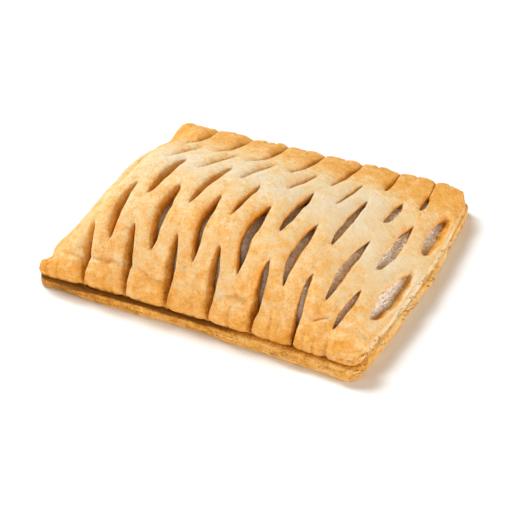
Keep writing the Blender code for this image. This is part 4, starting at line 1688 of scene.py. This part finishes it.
@dataclass(frozen=True)
class MeatFinish:
    """Cooked, finely minced meat: grey-brown with pale fat, dark pepper and a moist sheen."""

    slot: Slot = Slot.MEAT
    lean: tuple[float, float, float] = (0.93, 0.86, 0.80)
    pale: tuple[float, float, float] = (0.98, 0.95, 0.91)
    dark: tuple[float, float, float] = (0.54, 0.46, 0.40)
    pepper: tuple[float, float, float] = (0.05, 0.03, 0.02)
    roughness: float = 0.48
    pale_share: float = 0.35

    def material(self, groups: Groups, name: str) -> bpy.types.Material:
        """Builds the material.

        Args:
            groups: The shared shader groups.
            name: The material's name.

        Returns:
            The material.
        """
        made = bpy.data.materials.new(name)
        made.use_nodes = True
        kit = NodeKit(made.node_tree)
        shader = made.node_tree.nodes["Principled BSDF"]
        where = kit.add("ShaderNodeTexCoord").outputs["Object"]
        fat = kit.math("SUBTRACT", kit.noise(where, 0.0010, 3.0, 0.6), 0.62 - self.pale_share * 0.4)
        fat = kit.math("MULTIPLY", fat, 7.0, clamp=True)
        colour = kit.mix(fat, (*self.lean, 1.0), (*self.pale, 1.0))
        hollow = kit.math("SUBTRACT", 0.45, kit.noise(where, 0.0008, 2.0))
        hollow = kit.math("MULTIPLY", hollow, 9.0, clamp=True)
        colour = kit.mix(kit.math("MULTIPLY", hollow, 0.75), colour, (*self.dark, 1.0))
        pepper = kit.add("ShaderNodeGroup", node_tree=groups.freckles)
        kit.feed(pepper, Vector=where, Size=0.0006, Amount=0.05)
        colour = kit.mix(kit.math("MULTIPLY", pepper.outputs["Mask"], 0.6), colour, (*self.pepper, 1.0))
        crumb = kit.add("ShaderNodeGroup", node_tree=groups.crumb)
        kit.feed(crumb, Vector=where, Grain=0.0003, Blister=0.0009)
        bump = kit.add("ShaderNodeBump")
        kit.feed(bump, Height=crumb.outputs["Height"], Strength=0.8, Distance=0.0003)
        shine = kit.math("MULTIPLY_ADD", kit.noise(where, 0.0006, 2.0), 0.3)
        shine.node.inputs[2].default_value = self.roughness - 0.15
        kit.feed(shader, Base_Color=colour, Roughness=shine, Normal=bump.outputs["Normal"])
        return made


@dataclass(frozen=True)
class Lamp:
    """One round soft light, aimed at the object.

    Attributes:
        name: Its name.
        azimuth: Degrees round from the front.
        elevation: Degrees above the floor.
        distance: Metres from the object.
        size: Its width in metres.
        power: Watts.
        colour: Its linear colour.
    """

    name: str
    azimuth: float
    elevation: float
    distance: float
    size: float
    power: float
    colour: tuple[float, float, float]


@dataclass(frozen=True)
class Studio:
    """The floor, the soft light and the camera.

    Attributes:
        target: The point that the middle of the picture looks at.
        distance: From the target to the camera.
        focal_px: Focal length in pixels of a picture 512 pixels wide.
    """

    target: tuple[float, float, float] = (0.00044, -0.00538, 0.0)
    distance: float = 0.38477
    azimuth: float = 24.62
    elevation: float = 36.14
    focal_px: float = 1100.0
    sensor: float = 36.0
    lamps: tuple[Lamp, ...] = (
        Lamp("key", -108.0, 48.0, 0.9, 0.36, 6.2, (0.85, 0.93, 1.0)),
        Lamp("back", -130.0, 54.0, 0.9, 0.30, 3.4, (0.85, 0.93, 1.0)),
        Lamp("right", 84.0, 14.0, 0.9, 0.30, 4.3, (1.0, 0.95, 0.88)),
        Lamp("front_left", -36.0, 17.0, 0.9, 0.50, 2.8, (1.0, 0.91, 0.80)),
        Lamp("front_right", 30.0, 17.0, 0.9, 0.50, 2.0, (1.0, 0.91, 0.80)),
    )
    surround: tuple[float, float, float] = (1.0, 0.68, 0.42)
    surround_strength: float = 0.23

    @staticmethod
    def direction(azimuth: float, elevation: float) -> Vector:
        """Unit vector from the object towards a camera or a light.

        Args:
            azimuth: Degrees round from the front.
            elevation: Degrees above the floor.

        Returns:
            The direction.
        """
        turn, lift = math.radians(azimuth), math.radians(elevation)
        return Vector((math.sin(turn) * math.cos(lift), -math.cos(turn) * math.cos(lift), math.sin(lift)))

    def camera(self) -> None:
        """Sets the camera at the photograph's angle."""
        way = self.direction(self.azimuth, self.elevation)
        data = bpy.data.cameras.new("camera")
        data.sensor_width = self.sensor
        data.lens = self.sensor * self.focal_px / 512.0
        made = bpy.data.objects.new("camera", data)
        made.location = Vector(self.target) + way * self.distance
        made.rotation_euler = way.to_track_quat("Z", "Y").to_euler()
        bpy.context.scene.collection.objects.link(made)
        bpy.context.scene.camera = made

    def light(self) -> None:
        """Adds the soft lights and an even, warm surround."""
        for lamp in self.lamps:
            way = self.direction(lamp.azimuth, lamp.elevation)
            data = bpy.data.lights.new(lamp.name, "AREA")
            data.shape = "DISK"
            data.size = lamp.size
            data.energy = lamp.power
            data.color = lamp.colour
            made = bpy.data.objects.new(lamp.name, data)
            made.location = way * lamp.distance
            made.rotation_euler = way.to_track_quat("Z", "Y").to_euler()
            bpy.context.scene.collection.objects.link(made)
        world = bpy.data.worlds.new("surround")
        world.use_nodes = True
        back = world.node_tree.nodes["Background"]
        back.inputs["Color"].default_value = (*self.surround, 1.0)
        back.inputs["Strength"].default_value = self.surround_strength
        bpy.context.scene.world = world
        bpy.context.scene.view_settings.view_transform = "Standard"

    def floor(self) -> bpy.types.Object:
        """The plain pale floor.

        Returns:
            The floor.
        """
        bm = bmesh.new()
        bmesh.ops.create_grid(bm, x_segments=1, y_segments=1, size=3.0)
        material = bpy.data.materials.new("pale_floor")
        material.use_nodes = True
        shader = material.node_tree.nodes["Principled BSDF"]
        shader.inputs["Base Color"].default_value = (0.94, 0.96, 0.97, 1.0)
        shader.inputs["Roughness"].default_value = 0.9
        shader.inputs["Specular IOR Level"].default_value = 0.1
        made = make_piece("floor", bm, material, {})
        return made


def ride(piece: bpy.types.Object, node: Node | None = None) -> None:
    """Fixes a piece to the pastry, hides the solid that it replaces, and logs its size.

    Args:
        piece: The piece.
        node: The solid that it replaces, if any.
    """
    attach(piece, "root")
    if node is not None:
        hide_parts(node.value)
    points = np.array([vert.co[:] for vert in piece.data.vertices]).round(4)
    box = points.min(axis=0), points.max(axis=0)
    LOG.info("%s: %d faces, %s to %s", piece.name, len(piece.data.polygons), *box)


GOLDEN_CRUST = CrustFinish(
    slot=Slot.CRUST,
    shades=(
        (0.0, (0.91, 0.76, 0.54)), (0.25, (0.93, 0.69, 0.37)), (0.50, (0.94, 0.58, 0.22)),
        (0.75, (0.90, 0.445, 0.095)), (0.90, (0.80, 0.35, 0.038)), (1.0, (0.56, 0.22, 0.013)),
    ),
)
BASE_CRUST = CrustFinish(
    slot=Slot.BASE,
    shades=(
        (0.0, (0.92, 0.69, 0.36)), (0.3, (0.89, 0.52, 0.15)), (0.55, (0.80, 0.39, 0.068)),
        (0.75, (0.58, 0.255, 0.027)), (0.9, (0.34, 0.135, 0.011)), (1.0, (0.22, 0.082, 0.0065)),
    ),
    roughness=0.6,
    freckle_share=0.12,
    layer_share=0.35,
)
TORN_LAYER = CrustFinish(
    slot=Slot.CRUST,
    shades=((0.0, (0.93, 0.72, 0.42)), (0.2, (0.93, 0.64, 0.30)), (0.5, (0.88, 0.50, 0.15))),
    freckle_share=0.0,
)
BASE_FLAKES = Scatter(
    name="base_flakes", shape=Shape.FLAKE, mark="torn", density=800000.0, smallest=0.0003, largest=0.0008,
    stretch=(1.0, 0.9, 0.10), tilt=0.35, seed=8,
)
MEAT_GRAINS = Scatter(
    name="meat_grains", shape=Shape.GRAIN, mark="near", density=650000.0, smallest=0.00025, largest=0.00055,
    stretch=(1.0, 1.6, 1.0), tilt=math.pi, seed=5,
)
CRUST_FLAKES = Scatter(
    name="crust_flakes", shape=Shape.FLAKE, mark="torn", density=900000.0, smallest=0.0003, largest=0.0010,
    stretch=(1.0, 0.9, 0.10), tilt=0.40, seed=3,
)


def main() -> None:
    """Builds and dresses the pastry, then the studio."""
    logging.basicConfig(level=logging.INFO, format="%(message)s")
    groups = Groups()
    golden_crust = GOLDEN_CRUST.material(groups)
    base_crust = BASE_CRUST.material(groups)
    torn_layer = TORN_LAYER.material(groups)
    meat = MeatFinish().material(groups, "cooked_meat")
    grain_meat = MeatFinish(pale_share=0.6).material(groups, "meat_grains")

    base = BaseSheet()
    slab = base.build(base_crust)
    ride(BASE_FLAKES.over(slab, torn_layer))
    ride(slab, Node.BASE)
    meat_body = Filling(base=base).body(meat)
    ride(MEAT_GRAINS.over(meat_body, grain_meat))
    ride(meat_body, Node.MEAT)
    top = LatticeTop().build(golden_crust)
    ride(CRUST_FLAKES.over(top, torn_layer))
    ride(top, Node.CRUST)

    studio = Studio()
    studio.floor()
    studio.light()
    studio.camera()


if __name__ == "__main__":
    main()
